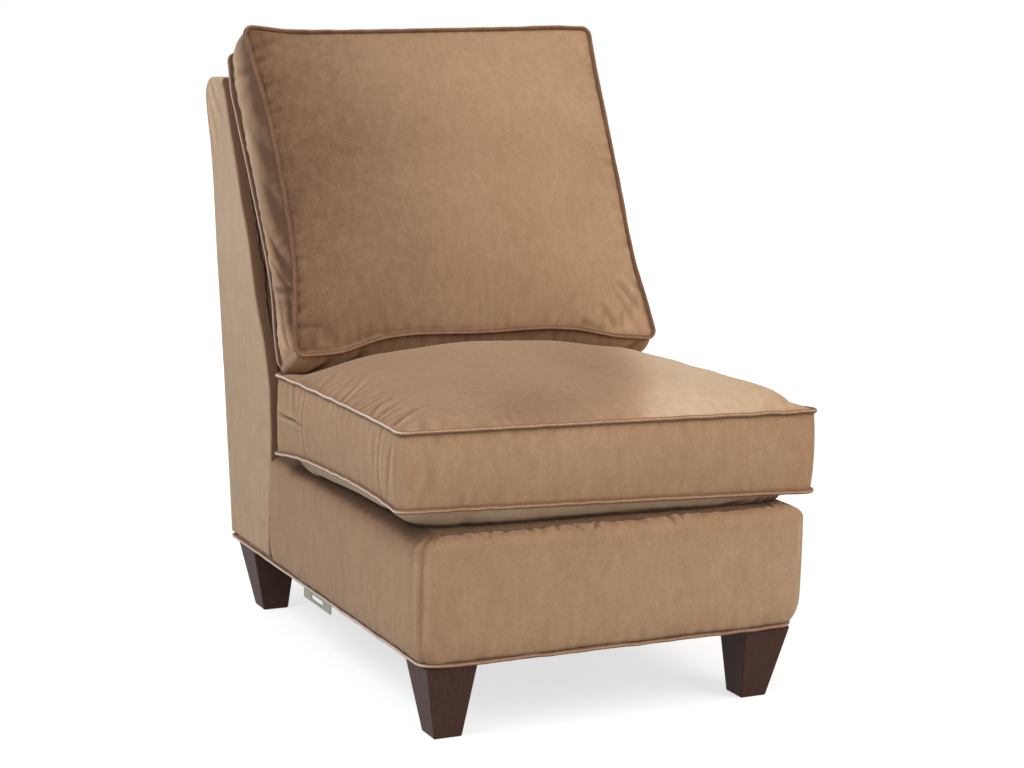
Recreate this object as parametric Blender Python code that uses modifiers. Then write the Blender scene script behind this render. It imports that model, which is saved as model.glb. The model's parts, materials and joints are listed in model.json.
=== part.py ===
"""Armless sectional chair: hardwood frame, zigzag springs, upholstered base and back, loose cushions.

Metres, +Z up, the chair faces -Y. Y is measured from the front of the base, and one empty
centres the whole chair over the floor.
"""
import math

import bmesh
import bpy
from mathutils import Matrix, Vector
from mathutils.bvhtree import BVHTree

# Clearances: between hard pieces, and between soft layers
GAP = 0.0003
SOFT_GAP = 0.0008

# Base
BASE_WIDTH = 0.625
BASE_DEPTH = 0.849
LEG_HEIGHT = 0.114
DECK_HEIGHT = 0.305
COVER_THICKNESS = 0.008
EDGE_ROLL = 0.022
BORDER_SWELL = 0.005
DECK_LIP = 0.004
CORNER_ROLL = 0.030
BORDER_RETURN = 0.010
REAR_CORNER = 0.006
DECK_PAD_THICKNESS = 0.018
DUST_CLOTH_THICKNESS = 0.0012
DUST_CLOTH_LAP = 0.007

# Piping, the same on the base and the cushions
WELT_RADIUS = 0.0042
WELT_PROUD = 0.002

# Legs and their bolts
LEG_TOP = 0.080
LEG_FOOT = 0.0445
FOOT_SHIFT = 0.006
LEG_INSET = 0.0075
REAR_LEG_INSET = 0.016
LEG_EDGE = 0.0015
BOLT_RADIUS = 0.004
BOLT_IN_LEG = 0.035
BOLT_HEAD_RADIUS = 0.008
BOLT_HEAD_HEIGHT = 0.004
BLOCK_SIDE = 0.085
BLOCK_HEIGHT = 0.045

# Hardwood frame
RAIL_THICKNESS = 0.028
SPRING_RAIL_HEIGHT = 0.050
TOP_RAIL_DEPTH = 0.050
TOP_RAIL_HEIGHT = 0.045

# Zigzag springs and their clips
SPRING_COUNT = 4
SPRING_SPACING = 0.125
SPRING_HALF_WIDTH = 0.022
SPRING_BARS = 12
WIRE_RADIUS = 0.0019
CLIP_SHEET = 0.0012
CLIP_WIDTH = 0.015
CLIP_LEG = 0.011
CLIP_LIP = 0.005

# Back
BACK_DEPTH = 0.209
SLOPE_START = 0.414
BACK_RAKE = math.radians(26.5)
OUTSIDE_RAKE = math.radians(10.2)
BACK_HEIGHT = 0.915
TOP_ROLL = 0.030
TOP_WADDING = 0.012
BACK_KNEE = 0.050
INSIDE_CROWN = 0.022
BACK_PAD_THICKNESS = 0.022
SUPPORT_THICKNESS = 0.002
PANEL_EDGE = 0.003

# Seat cushion
SEAT_TO_BACK = 0.108
SEAT_WIDTH = 0.690
SEAT_DEPTH = 0.512
SEAT_BOXING = 0.125
SEAT_TOP_CROWN = 0.045
SEAT_BOTTOM_CROWN = 0.0255
SEAT_BULGE = 0.006
SEAT_DRAW_IN = (0.003, 0.006, 0.003)
SEAT_ZIP_BAND = (-0.011, 0.011)

# Back cushion
BACK_CUSHION_WIDTH = 0.648
BACK_CUSHION_HEIGHT = 0.558
BACK_BOXING = 0.104
BACK_FRONT_CROWN = 0.045
BACK_REAR_CROWN = 0.042
BACK_BULGE = 0.006
BACK_BOTTOM_BULGE = 0.022
BACK_DRAW_IN = (0.016, 0.009, 0.003)
BACK_ZIP_BAND = (-0.025, -0.004)

# What both cushions share
CUSHION_CORNER = 0.020
CUSHION_WALL = 0.002
FILL_EASE = 0.0010
CROWN_POWER = 2.2

# Zips
TAPE_THICKNESS = 0.0014
TAPE_SINK = 0.0004
TAPE_TAPER = 0.0016
CHAIN_HALF_WIDTH = 0.003
CHAIN_RISE = 0.0012
SLIDER_LENGTH = 0.012
SLIDER_WIDTH = 0.009
SLIDER_THICKNESS = 0.003
BRIDGE_WIDTH = 0.0024
BRIDGE_LENGTH = 0.008
BRIDGE_WINDOW = 0.003
BRIDGE_BAR = 0.0012
PULL_LENGTH = 0.018
PULL_WIDTH = 0.007
PULL_EYE_WIDTH = 0.004
PULL_EYE_LENGTH = 0.005
PULL_THICKNESS = 0.0012
SEAT_PULL_ANGLE = math.radians(85)

# Sectional connectors
CONNECTOR_LENGTH = 0.120
CONNECTOR_CENTRE = 0.445
CONNECTOR_SHEET = 0.002
CONNECTOR_DROP = 0.020
CONNECTOR_SETBACK = 0.001
CONNECTOR_SLOT = (0.050, 0.008)

# Facets of the round shapes
CORNER_STEPS = 4
ROLL_STEPS = 4
BOLT_SIDES = 12
CLIP_STEPS = 6
CUSHION_CORNER_STEPS = 3
CUSHION_SIDE_STEPS = 5
PANEL_RINGS = 4
BACK_COLUMNS = 9
SETTLE_STEP = 0.004

# Places that follow from the sizes
BACK_FRONT = BASE_DEPTH - BACK_DEPTH
HALF_BASE = BASE_WIDTH / 2
FRAME_HALF = HALF_BASE - COVER_THICKNESS - GAP
FRAME_INNER = FRAME_HALF - RAIL_THICKNESS
FRAME_FRONT = COVER_THICKNESS + GAP
FRAME_BOTTOM = LEG_HEIGHT + GAP
COVER_BOTTOM = FRAME_BOTTOM + 2 * WELT_RADIUS + GAP
CLIP_OUTER = WIRE_RADIUS + GAP + CLIP_SHEET
DECK_PAD_BOTTOM = DECK_HEIGHT - DECK_PAD_THICKNESS
WIRE_HEIGHT = DECK_PAD_BOTTOM - GAP - CLIP_OUTER
RAIL_TOP = WIRE_HEIGHT - CLIP_OUTER - GAP
RAIL_HEIGHT = RAIL_TOP - FRAME_BOTTOM
POST_SETBACK = COVER_THICKNESS + BACK_PAD_THICKNESS + SUPPORT_THICKNESS + 3 * SOFT_GAP
POST_FRONT = BACK_FRONT + POST_SETBACK
POST_TOP = BACK_HEIGHT - TOP_ROLL - TOP_WADDING
REAR_RAIL_REAR = BASE_DEPTH - COVER_THICKNESS / math.cos(OUTSIDE_RAKE) - GAP
UP_BACK = Vector((0, math.sin(BACK_RAKE), math.cos(BACK_RAKE)))
OFF_BACK = Vector((0, -math.cos(BACK_RAKE), math.sin(BACK_RAKE)))
WELT_SEAT = (WELT_RADIUS + GAP) * math.sqrt(2)

# Turns an outline drawn as (y, z) so that its thickness runs along X
ALONG_X = Matrix(((0, 0, 1, 0), (1, 0, 0, 0), (0, 1, 0, 0), (0, 0, 0, 1)))

for old in list(bpy.data.objects):
    bpy.data.objects.remove(old)

chair_parts = bpy.data.collections.new("armless_sectional_chair")
cutters = bpy.data.collections.new("cutters")
bpy.context.scene.collection.children.link(chair_parts)
bpy.context.scene.collection.children.link(cutters)


def material(name, colour, roughness, metallic=0.0):
    """A Principled material with one colour, given as linear red, green and blue."""
    made = bpy.data.materials.new(name)
    made.use_nodes = True
    shader = made.node_tree.nodes["Principled BSDF"]
    shader.inputs["Base Color"].default_value = (*colour, 1)
    shader.inputs["Roughness"].default_value = roughness
    shader.inputs["Metallic"].default_value = metallic
    return made


COVER_FABRIC = material("camel_suede_cloth", (0.39, 0.235, 0.125), 0.9)
WELT_FABRIC = material("welt_suede_cloth", (0.33, 0.17, 0.08), 0.85)
FRAME_WOOD = material("frame_hardwood", (0.50, 0.33, 0.18), 0.7)
LEG_WOOD = material("stained_leg_wood", (0.055, 0.026, 0.020), 0.35)
FOAM = material("cushion_foam", (0.78, 0.70, 0.52), 0.95)
WADDING = material("polyester_wadding", (0.80, 0.78, 0.72), 0.95)
CLOTH_BLACK = material("black_dust_cloth", (0.012, 0.012, 0.012), 0.95)
SPRING_STEEL = material("spring_steel", (0.22, 0.22, 0.23), 0.4, 1.0)
ZINC_STEEL = material("zinc_plated_steel", (0.42, 0.42, 0.40), 0.45, 1.0)
ZIP_TAPE = material("zip_tape", (0.16, 0.09, 0.05), 0.85)
ZIP_METAL = material("dark_zip_metal", (0.08, 0.065, 0.05), 0.4, 1.0)


def empty(name, parent=None, location=(0, 0, 0), rotation_x=0.0):
    """A frame that other objects hang from."""
    made = bpy.data.objects.new(name, None)
    chair_parts.objects.link(made)
    made.parent = parent
    made.location = location
    made.rotation_euler.x = rotation_x
    return made


def add(name, data, look, parent, location=(0, 0, 0), collection=chair_parts):
    """Link mesh or curve data as a named object with its material."""
    made = bpy.data.objects.new(name, data)
    collection.objects.link(made)
    made.parent = parent
    made.location = location
    if look:
        data.materials.append(look)
    return made


def evaluated_mesh(obj):
    """The object's final mesh in its own coordinates, with loose caps welded."""
    view = bpy.context.evaluated_depsgraph_get()
    mesh = bpy.data.meshes.new_from_object(obj.evaluated_get(view))
    shape = bmesh.new()
    shape.from_mesh(mesh)
    bmesh.ops.remove_doubles(shape, verts=shape.verts, dist=0.00002)
    shape.to_mesh(mesh)
    shape.free()
    return mesh


def rounded(corners, radii, steps=CORNER_STEPS):
    """A closed outline with each corner replaced by an arc that is tangent to both its sides."""
    outline = []
    count = len(corners)
    for index, radius in enumerate(radii):
        corner = Vector(corners[index])
        to_last = (Vector(corners[index - 1]) - corner).normalized()
        to_next = (Vector(corners[(index + 1) % count]) - corner).normalized()
        if radius == 0:
            outline.append(corner)
            continue
        half = to_last.angle(to_next) / 2
        middle = corner + (to_last + to_next).normalized() * radius / math.sin(half)
        first = corner + to_last * radius / math.tan(half) - middle
        last = corner + to_next * radius / math.tan(half) - middle
        for step in range(steps + 1):
            outline.append(middle + first.slerp(last, step / steps).normalized() * radius)
    return outline


def plate(name, outline, thickness, look, parent, location=(0, 0, 0), turn=None, bevel=0.0):
    """A flat outline given a thickness, half to each side of its plane."""
    curve = bpy.data.curves.new(name, "CURVE")
    curve.dimensions = "2D"
    curve.fill_mode = "BOTH"
    curve.extrude = thickness / 2
    spline = curve.splines.new("POLY")
    spline.points.add(len(outline) - 1)
    for point, place in zip(spline.points, outline):
        point.co = (place[0], place[1], 0, 1)
    spline.use_cyclic_u = True
    drawn = add(name + "_outline", curve, None, None)
    mesh = evaluated_mesh(drawn)
    bpy.data.objects.remove(drawn)
    if turn:
        mesh.transform(turn)
    made = add(name, mesh, look, parent, location)
    if bevel:
        round_edges(made, bevel)
    return made


def round_edges(obj, width, segments=2):
    """Round the object's sharp edges."""
    edge = obj.modifiers.new("edge", "BEVEL")
    edge.width = width
    edge.segments = segments
    edge.limit_method = "ANGLE"
    edge.angle_limit = math.radians(50)


def box(name, low, high, look, parent, collection=chair_parts):
    """A box between two corners, with its origin at its middle."""
    low, high = Vector(low), Vector(high)
    mesh = bpy.data.meshes.new(name)
    shape = bmesh.new()
    bmesh.ops.create_cube(shape, size=1)
    bmesh.ops.scale(shape, vec=high - low, verts=shape.verts)
    shape.to_mesh(mesh)
    shape.free()
    return add(name, mesh, look, parent, (low + high) / 2, collection)


def cylinder(name, radius, low, high, look, parent, location, collection=chair_parts):
    """An upright cylinder from height low to height high."""
    mesh = bpy.data.meshes.new(name)
    shape = bmesh.new()
    bmesh.ops.create_cone(shape, cap_ends=True, segments=BOLT_SIDES, radius1=radius, radius2=radius,
                          depth=high - low, matrix=Matrix.Translation((0, 0, (low + high) / 2)))
    shape.to_mesh(mesh)
    shape.free()
    return add(name, mesh, look, parent, location, collection)


def tube(name, points, radius, look, parent, location=(0, 0, 0), cyclic=True):
    """A round tube through the points."""
    curve = bpy.data.curves.new(name, "CURVE")
    curve.dimensions = "3D"
    curve.bevel_depth = radius
    curve.bevel_resolution = 1
    curve.use_fill_caps = not cyclic
    spline = curve.splines.new("POLY")
    spline.points.add(len(points) - 1)
    for point, place in zip(spline.points, points):
        point.co = (*place, 1)
    spline.use_cyclic_u = cyclic
    return add(name, curve, look, parent, location)


def sheet(name, rows, thickness, look, parent):
    """An open surface through rows of points, thickened to its inner side."""
    mesh = bpy.data.meshes.new(name)
    width = len(rows[0])
    points = [place for row in rows for place in row]
    faces = []
    for row in range(len(rows) - 1):
        for column in range(width - 1):
            first = row * width + column
            faces.append((first, first + 1, first + width + 1, first + width))
    mesh.from_pydata(points, [], faces)
    made = add(name, mesh, look, parent)
    thicken(made, thickness)
    mesh.shade_smooth()
    return made


def thicken(obj, thickness):
    """Give an open surface an even wall on its inner side."""
    wall = obj.modifiers.new("wall", "SOLIDIFY")
    wall.thickness = thickness
    wall.offset = -1
    wall.use_even_offset = True


def cut(obj, cutter, operation="DIFFERENCE"):
    """Cut the object with a hidden cutter, or join it on."""
    cutter.hide_render = True
    cutter.display_type = "WIRE"
    change = obj.modifiers.new(operation.lower(), "BOOLEAN")
    change.operation = operation
    change.object = cutter


def slope_y(height, depth=0.0):
    """Y of the inside back's flat edge line at a height, and at a depth square behind it."""
    return BACK_FRONT + math.tan(BACK_RAKE) * (height - SLOPE_START) + depth / math.cos(BACK_RAKE)


def rear_y(height, depth=0.0):
    """Y of the outside back at a height, and at a depth square in front of it."""
    return BASE_DEPTH + math.tan(OUTSIDE_RAKE) * (height - LEG_HEIGHT) - depth / math.cos(OUTSIDE_RAKE)


BACK_CORNERS = [
    (BACK_FRONT, COVER_BOTTOM),
    (rear_y(COVER_BOTTOM), COVER_BOTTOM),
    (rear_y(BACK_HEIGHT), BACK_HEIGHT),
    (slope_y(BACK_HEIGHT), BACK_HEIGHT),
    (BACK_FRONT, SLOPE_START),
]
BACK_OUTLINE = rounded(BACK_CORNERS, [0, 0, TOP_ROLL, TOP_ROLL, BACK_KNEE])
REARMOST = max(place[0] for place in BACK_OUTLINE)

chair = empty("chair", location=(0, (max(WELT_PROUD, BORDER_SWELL) - REARMOST) / 2, 0))


def hardwood_frame():
    """Rails, posts and blocks, glued and stapled on the real chair."""
    front_corner = CORNER_ROLL - COVER_THICKNESS
    front_outline = rounded(
        [(-FRAME_HALF, FRAME_FRONT), (FRAME_HALF, FRAME_FRONT),
         (FRAME_HALF, FRAME_FRONT + RAIL_THICKNESS), (-FRAME_HALF, FRAME_FRONT + RAIL_THICKNESS)],
        [front_corner, front_corner, 0, 0])
    rail_middle = (0, 0, FRAME_BOTTOM + RAIL_HEIGHT / 2)
    plate("front_rail", front_outline, RAIL_HEIGHT, FRAME_WOOD, chair, rail_middle)

    across = FRAME_INNER - GAP
    box("rear_rail", (-across, REAR_RAIL_REAR - RAIL_THICKNESS, FRAME_BOTTOM),
        (across, REAR_RAIL_REAR, RAIL_TOP), FRAME_WOOD, chair)
    box("spring_rail", (-across, POST_FRONT, RAIL_TOP - SPRING_RAIL_HEIGHT),
        (across, POST_FRONT + RAIL_THICKNESS, RAIL_TOP), FRAME_WOOD, chair)
    top_rail_front = slope_y(POST_TOP, POST_SETBACK) + GAP
    box("back_top_rail", (-across, top_rail_front, POST_TOP - TOP_RAIL_HEIGHT),
        (across, top_rail_front + TOP_RAIL_DEPTH, POST_TOP), FRAME_WOOD, chair)

    knee = SLOPE_START + POST_SETBACK * (1 - 1 / math.cos(BACK_RAKE)) / math.tan(BACK_RAKE)
    post_rear = COVER_THICKNESS + GAP
    post_outline = [
        (POST_FRONT, FRAME_BOTTOM),
        (rear_y(FRAME_BOTTOM, post_rear), FRAME_BOTTOM),
        (rear_y(POST_TOP, post_rear), POST_TOP),
        (slope_y(POST_TOP, POST_SETBACK), POST_TOP),
        (POST_FRONT, knee),
    ]
    for side, name in ((-1, "left"), (1, "right")):
        inner, outer = sorted((side * FRAME_INNER, side * FRAME_HALF))
        box(name + "_side_rail", (inner, FRAME_FRONT + RAIL_THICKNESS + GAP, FRAME_BOTTOM),
            (outer, POST_FRONT - GAP, RAIL_TOP), FRAME_WOOD, chair)
        plate(name + "_back_post", post_outline, RAIL_THICKNESS, FRAME_WOOD, chair,
              (side * (FRAME_INNER + FRAME_HALF) / 2, 0, 0), ALONG_X)


def legs():
    """Tapered legs, each drawn up to its corner block by a bolt."""
    leg_x = HALF_BASE - LEG_INSET - LEG_TOP / 2
    ends = (("front", 1, LEG_INSET + LEG_TOP / 2, FRAME_FRONT + RAIL_THICKNESS),
            ("rear", -1, BASE_DEPTH - REAR_LEG_INSET - LEG_TOP / 2, REAR_RAIL_REAR - RAIL_THICKNESS))
    for end, inward, leg_y, rail_face in ends:
        for side, hand in ((-1, "left"), (1, "right")):
            place = (side * leg_x, leg_y, 0)
            corner_block(end + "_" + hand + "_corner_block", side, inward, rail_face, place)
            one_leg(end + "_" + hand + "_leg", side, inward, place)
            leg_bolt(end + "_" + hand + "_leg_bolt", place)


def bolt_hole(name, low, high, place):
    """A cutter that leaves the bolt its clearance."""
    return cylinder(name + "_hole", BOLT_RADIUS + GAP, low, high, None, chair, place, cutters)


def corner_block(name, side, inward, rail_face, leg_place):
    """A three-cornered block glued into the corner of two rails."""
    corner = (side * (FRAME_INNER - GAP), rail_face + inward * GAP)
    outline = [corner, (corner[0] - side * BLOCK_SIDE, corner[1]), (corner[0], corner[1] + inward * BLOCK_SIDE)]
    if side * inward > 0:
        outline.reverse()
    block = plate(name, outline, BLOCK_HEIGHT, FRAME_WOOD, chair, (0, 0, FRAME_BOTTOM + BLOCK_HEIGHT / 2))
    cut(block, bolt_hole(name, 0, FRAME_BOTTOM + 2 * BLOCK_HEIGHT, leg_place))


def one_leg(name, side, inward, place):
    """A square leg whose outer faces lean in more than its inner ones."""
    mesh = bpy.data.meshes.new(name)
    shape = bmesh.new()
    bmesh.ops.create_cone(shape, cap_ends=True, segments=4, radius1=LEG_FOOT / math.sqrt(2),
                          radius2=LEG_TOP / math.sqrt(2), depth=LEG_HEIGHT)
    bmesh.ops.rotate(shape, matrix=Matrix.Rotation(math.pi / 4, 3, "Z"), verts=shape.verts)
    bmesh.ops.translate(shape, vec=(0, 0, LEG_HEIGHT / 2), verts=shape.verts)
    foot = [vert for vert in shape.verts if vert.co.z < LEG_HEIGHT / 2]
    bmesh.ops.translate(shape, vec=(-side * FOOT_SHIFT, inward * FOOT_SHIFT, 0), verts=foot)
    shape.to_mesh(mesh)
    shape.free()
    leg = add(name, mesh, LEG_WOOD, chair, place)
    round_edges(leg, LEG_EDGE, 1)
    cut(leg, bolt_hole(name, LEG_HEIGHT - BOLT_IN_LEG - GAP, 2 * LEG_HEIGHT, place))


def leg_bolt(name, place):
    """A turned bolt: its head on the block, its shank through the block into the leg."""
    seat = FRAME_BOTTOM + BLOCK_HEIGHT + GAP
    profile = [
        (0, seat + BOLT_HEAD_HEIGHT),
        (BOLT_HEAD_RADIUS, seat + BOLT_HEAD_HEIGHT),
        (BOLT_HEAD_RADIUS, seat),
        (BOLT_RADIUS, seat),
        (BOLT_RADIUS, LEG_HEIGHT - BOLT_IN_LEG),
        (0, LEG_HEIGHT - BOLT_IN_LEG),
    ]
    mesh = bpy.data.meshes.new(name)
    edges = [(index, index + 1) for index in range(len(profile) - 1)]
    mesh.from_pydata([(radius, 0, height) for radius, height in profile], edges, [])
    bolt = add(name, mesh, ZINC_STEEL, chair, place)
    turn = bolt.modifiers.new("turn", "SCREW")
    turn.steps = BOLT_SIDES
    turn.render_steps = BOLT_SIDES
    turn.use_merge_vertices = True
    turn.merge_threshold = 0.00005


def spring_line(front, rear):
    """A zigzag of cross bars joined by half-round turns, from the front bar to the rear bar."""
    pitch = (rear - front) / (SPRING_BARS - 1)
    turn = pitch / 2
    points = []
    for bar in range(SPRING_BARS):
        way = 1 if bar % 2 == 0 else -1
        y = front + bar * pitch
        points.append((-way * SPRING_HALF_WIDTH, y, 0))
        points.append((way * SPRING_HALF_WIDTH, y, 0))
        if bar < SPRING_BARS - 1:
            for angle in (math.pi / 3, 2 * math.pi / 3):
                points.append((way * (SPRING_HALF_WIDTH + turn * math.sin(angle)),
                               y + turn * (1 - math.cos(angle)), 0))
    return points


def clip_outline(way):
    """A sheet steel hook bent round the wire: a long leg below, a short lip above."""
    inner = WIRE_RADIUS + GAP
    bend = [math.radians(-90 + 180 * step / CLIP_STEPS) for step in range(CLIP_STEPS + 1)]
    outside = [(CLIP_OUTER * math.cos(angle), CLIP_OUTER * math.sin(angle)) for angle in bend]
    inside = [(inner * math.cos(angle), inner * math.sin(angle)) for angle in reversed(bend)]
    outline = [(-CLIP_LEG, -inner), (-CLIP_LEG, -CLIP_OUTER), *outside,
               (-CLIP_LIP, CLIP_OUTER), (-CLIP_LIP, inner), *inside]
    return [(way * y, z) for y, z in outline][::way]


def springs():
    """Zigzag springs from the front rail to the spring rail, hooked in clips at both ends."""
    front = FRAME_FRONT + RAIL_THICKNESS - CLIP_OUTER - GAP
    rear = POST_FRONT + CLIP_OUTER + GAP
    for number in range(SPRING_COUNT):
        x = (number - (SPRING_COUNT - 1) / 2) * SPRING_SPACING
        tube("seat_spring_%d" % (number + 1), spring_line(front, rear), WIRE_RADIUS, SPRING_STEEL, chair,
             (x, 0, WIRE_HEIGHT), cyclic=False)
        for end, y, way in (("front", front, 1), ("rear", rear, -1)):
            plate("%s_spring_clip_%d" % (end, number + 1), clip_outline(way), CLIP_WIDTH, ZINC_STEEL, chair,
                  (x, y, WIRE_HEIGHT), ALONG_X)


def border_profile():
    """Inward offset and height up the base's cover: a side that swells, a rolled edge, a flat lip."""
    rows = [(0, COVER_BOTTOM)]
    for step in range(ROLL_STEPS + 1):
        angle = math.pi / 2 * step / ROLL_STEPS
        inset = EDGE_ROLL - (EDGE_ROLL + BORDER_SWELL) * math.cos(angle)
        rows.append((inset, DECK_HEIGHT - EDGE_ROLL * (1 - math.sin(angle))))
    rows.append((EDGE_ROLL + DECK_LIP, DECK_HEIGHT))
    return rows


def base_upholstery():
    """Borders, deck pad, bottom welt and dust cloth."""
    arc = [math.pi / 2 * step / CORNER_STEPS for step in range(CORNER_STEPS + 1)]
    middle_x = HALF_BASE - CORNER_ROLL
    seam_y = CORNER_ROLL + BORDER_RETURN
    stations = [((-middle_x, seam_y), (-1, 0))]
    stations += [((-middle_x, CORNER_ROLL), (-math.cos(a), -math.sin(a))) for a in arc]
    stations += [((middle_x, CORNER_ROLL), (math.sin(a), -math.cos(a))) for a in arc]
    stations.append(((middle_x, seam_y), (1, 0)))
    rows = []
    for inset, height in border_profile():
        reach = CORNER_ROLL - inset
        rows.append([(middle[0] + out[0] * reach, middle[1] + out[1] * reach, height) for middle, out in stations])
    sheet("front_border", rows, COVER_THICKNESS, COVER_FABRIC, chair)

    ends = (seam_y + GAP, BACK_FRONT - GAP)
    for side, name in ((-1, "left_border"), (1, "right_border")):
        order = ends if side > 0 else ends[::-1]
        rows = [[(side * (HALF_BASE - inset), y, height) for y in order] for inset, height in border_profile()]
        sheet(name, rows, COVER_THICKNESS, COVER_FABRIC, chair)

    pad_inset = EDGE_ROLL + DECK_LIP + GAP
    pad_half = HALF_BASE - pad_inset
    pad_rear = POST_FRONT - GAP
    pad_corner = CORNER_ROLL - pad_inset
    pad_outline = rounded([(-pad_half, pad_inset), (pad_half, pad_inset), (pad_half, pad_rear), (-pad_half, pad_rear)],
                          [pad_corner, pad_corner, 0, 0])
    plate("deck_pad", pad_outline, DECK_PAD_THICKNESS, WADDING, chair,
          (0, 0, DECK_HEIGHT - DECK_PAD_THICKNESS / 2))

    inset = WELT_RADIUS - WELT_PROUD
    welt_half = HALF_BASE - inset
    welt_rear = BASE_DEPTH - inset
    path = rounded([(-welt_half, inset), (welt_half, inset), (welt_half, welt_rear), (-welt_half, welt_rear)],
                   [CORNER_ROLL - inset, CORNER_ROLL - inset, REAR_CORNER, REAR_CORNER])
    height = FRAME_BOTTOM + WELT_RADIUS
    tube("base_welt", [(x, y, height) for x, y in path], WELT_RADIUS, WELT_FABRIC, chair)

    half = FRAME_INNER + DUST_CLOTH_LAP
    front = FRAME_FRONT + GAP
    rear = REAR_RAIL_REAR
    leg_side = HALF_BASE - LEG_INSET - LEG_TOP - SOFT_GAP
    leg_back = LEG_INSET + LEG_TOP + SOFT_GAP
    leg_front = BASE_DEPTH - REAR_LEG_INSET - LEG_TOP - SOFT_GAP
    right_edge = [(leg_side, front), (leg_side, leg_back), (half, leg_back), (half, leg_front),
                  (leg_side, leg_front), (leg_side, rear)]
    left_edge = [(-x, y) for x, y in reversed(right_edge)]
    plate("dust_cloth", right_edge + left_edge, DUST_CLOTH_THICKNESS, CLOTH_BLACK, chair,
          (0, 0, LEG_HEIGHT - DUST_CLOTH_THICKNESS / 2))


def crown_across(x):
    """How far the inside back swells at x: full in the middle, nothing over the posts."""
    return INSIDE_CROWN * max(0.0, 1 - (x / FRAME_INNER) ** 2)


def back_layer(name, depth, thickness, look, half):
    """One layer of the inside back, parallel to its slope, crowned across the chair."""
    xs = [half * (2 * column / (BACK_COLUMNS - 1) - 1) for column in range(BACK_COLUMNS)]
    rows = []
    for height in (SLOPE_START + BACK_KNEE * math.tan(BACK_RAKE / 2), POST_TOP):
        foot = Vector((0, slope_y(height, depth), height))
        rows.append([foot + OFF_BACK * crown_across(x) + Vector((x, 0, 0)) for x in xs])
    return sheet(name, rows, thickness, look, chair)


def back_upholstery():
    """Side panels, inside back with its top roll, outside back, and the layers inside."""
    panel_x = HALF_BASE - COVER_THICKNESS / 2
    for side, name in ((-1, "left_back_panel"), (1, "right_back_panel")):
        plate(name, BACK_OUTLINE, COVER_THICKNESS, COVER_FABRIC, chair, (side * panel_x, 0, 0), ALONG_X, PANEL_EDGE)

    half = HALF_BASE - COVER_THICKNESS - GAP
    profile = rounded([*BACK_CORNERS[1:], (BACK_FRONT, DECK_HEIGHT + GAP)],
                      [0, TOP_ROLL, TOP_ROLL, BACK_KNEE, 0])[1:]
    profile.reverse()
    seam_z = profile[-1][1] - BORDER_RETURN
    profile.append((rear_y(seam_z), seam_z))
    xs = [half * (2 * column / (BACK_COLUMNS - 1) - 1) for column in range(BACK_COLUMNS)]
    arc = CORNER_STEPS + 1
    shares = [0] + [1] * arc + [1 - step / CORNER_STEPS for step in range(arc)] + [0] * (arc + 1)
    rows = []
    for (y, z), share in zip(profile, shares):
        rows.append([Vector((x, y, z)) + OFF_BACK * crown_across(x) * share for x in xs])
    sheet("inside_back_cover", rows, COVER_THICKNESS, COVER_FABRIC, chair)

    depth = COVER_THICKNESS + SOFT_GAP
    back_layer("inside_back_pad", depth, BACK_PAD_THICKNESS, WADDING, half)
    depth += BACK_PAD_THICKNESS + SOFT_GAP
    back_layer("back_support_cloth", depth, SUPPORT_THICKNESS, CLOTH_BLACK, half)

    low = COVER_BOTTOM + SOFT_GAP
    high = seam_z - SOFT_GAP
    length = (high - low) / math.cos(OUTSIDE_RAKE)
    panel = box("outside_back_panel", (-half, -COVER_THICKNESS / 2, -length / 2),
                (half, COVER_THICKNESS / 2, length / 2), COVER_FABRIC, chair)
    middle = (low + high) / 2
    panel.location = (0, rear_y(middle, COVER_THICKNESS / 2), middle)
    panel.rotation_euler.x = -OUTSIDE_RAKE


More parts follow.
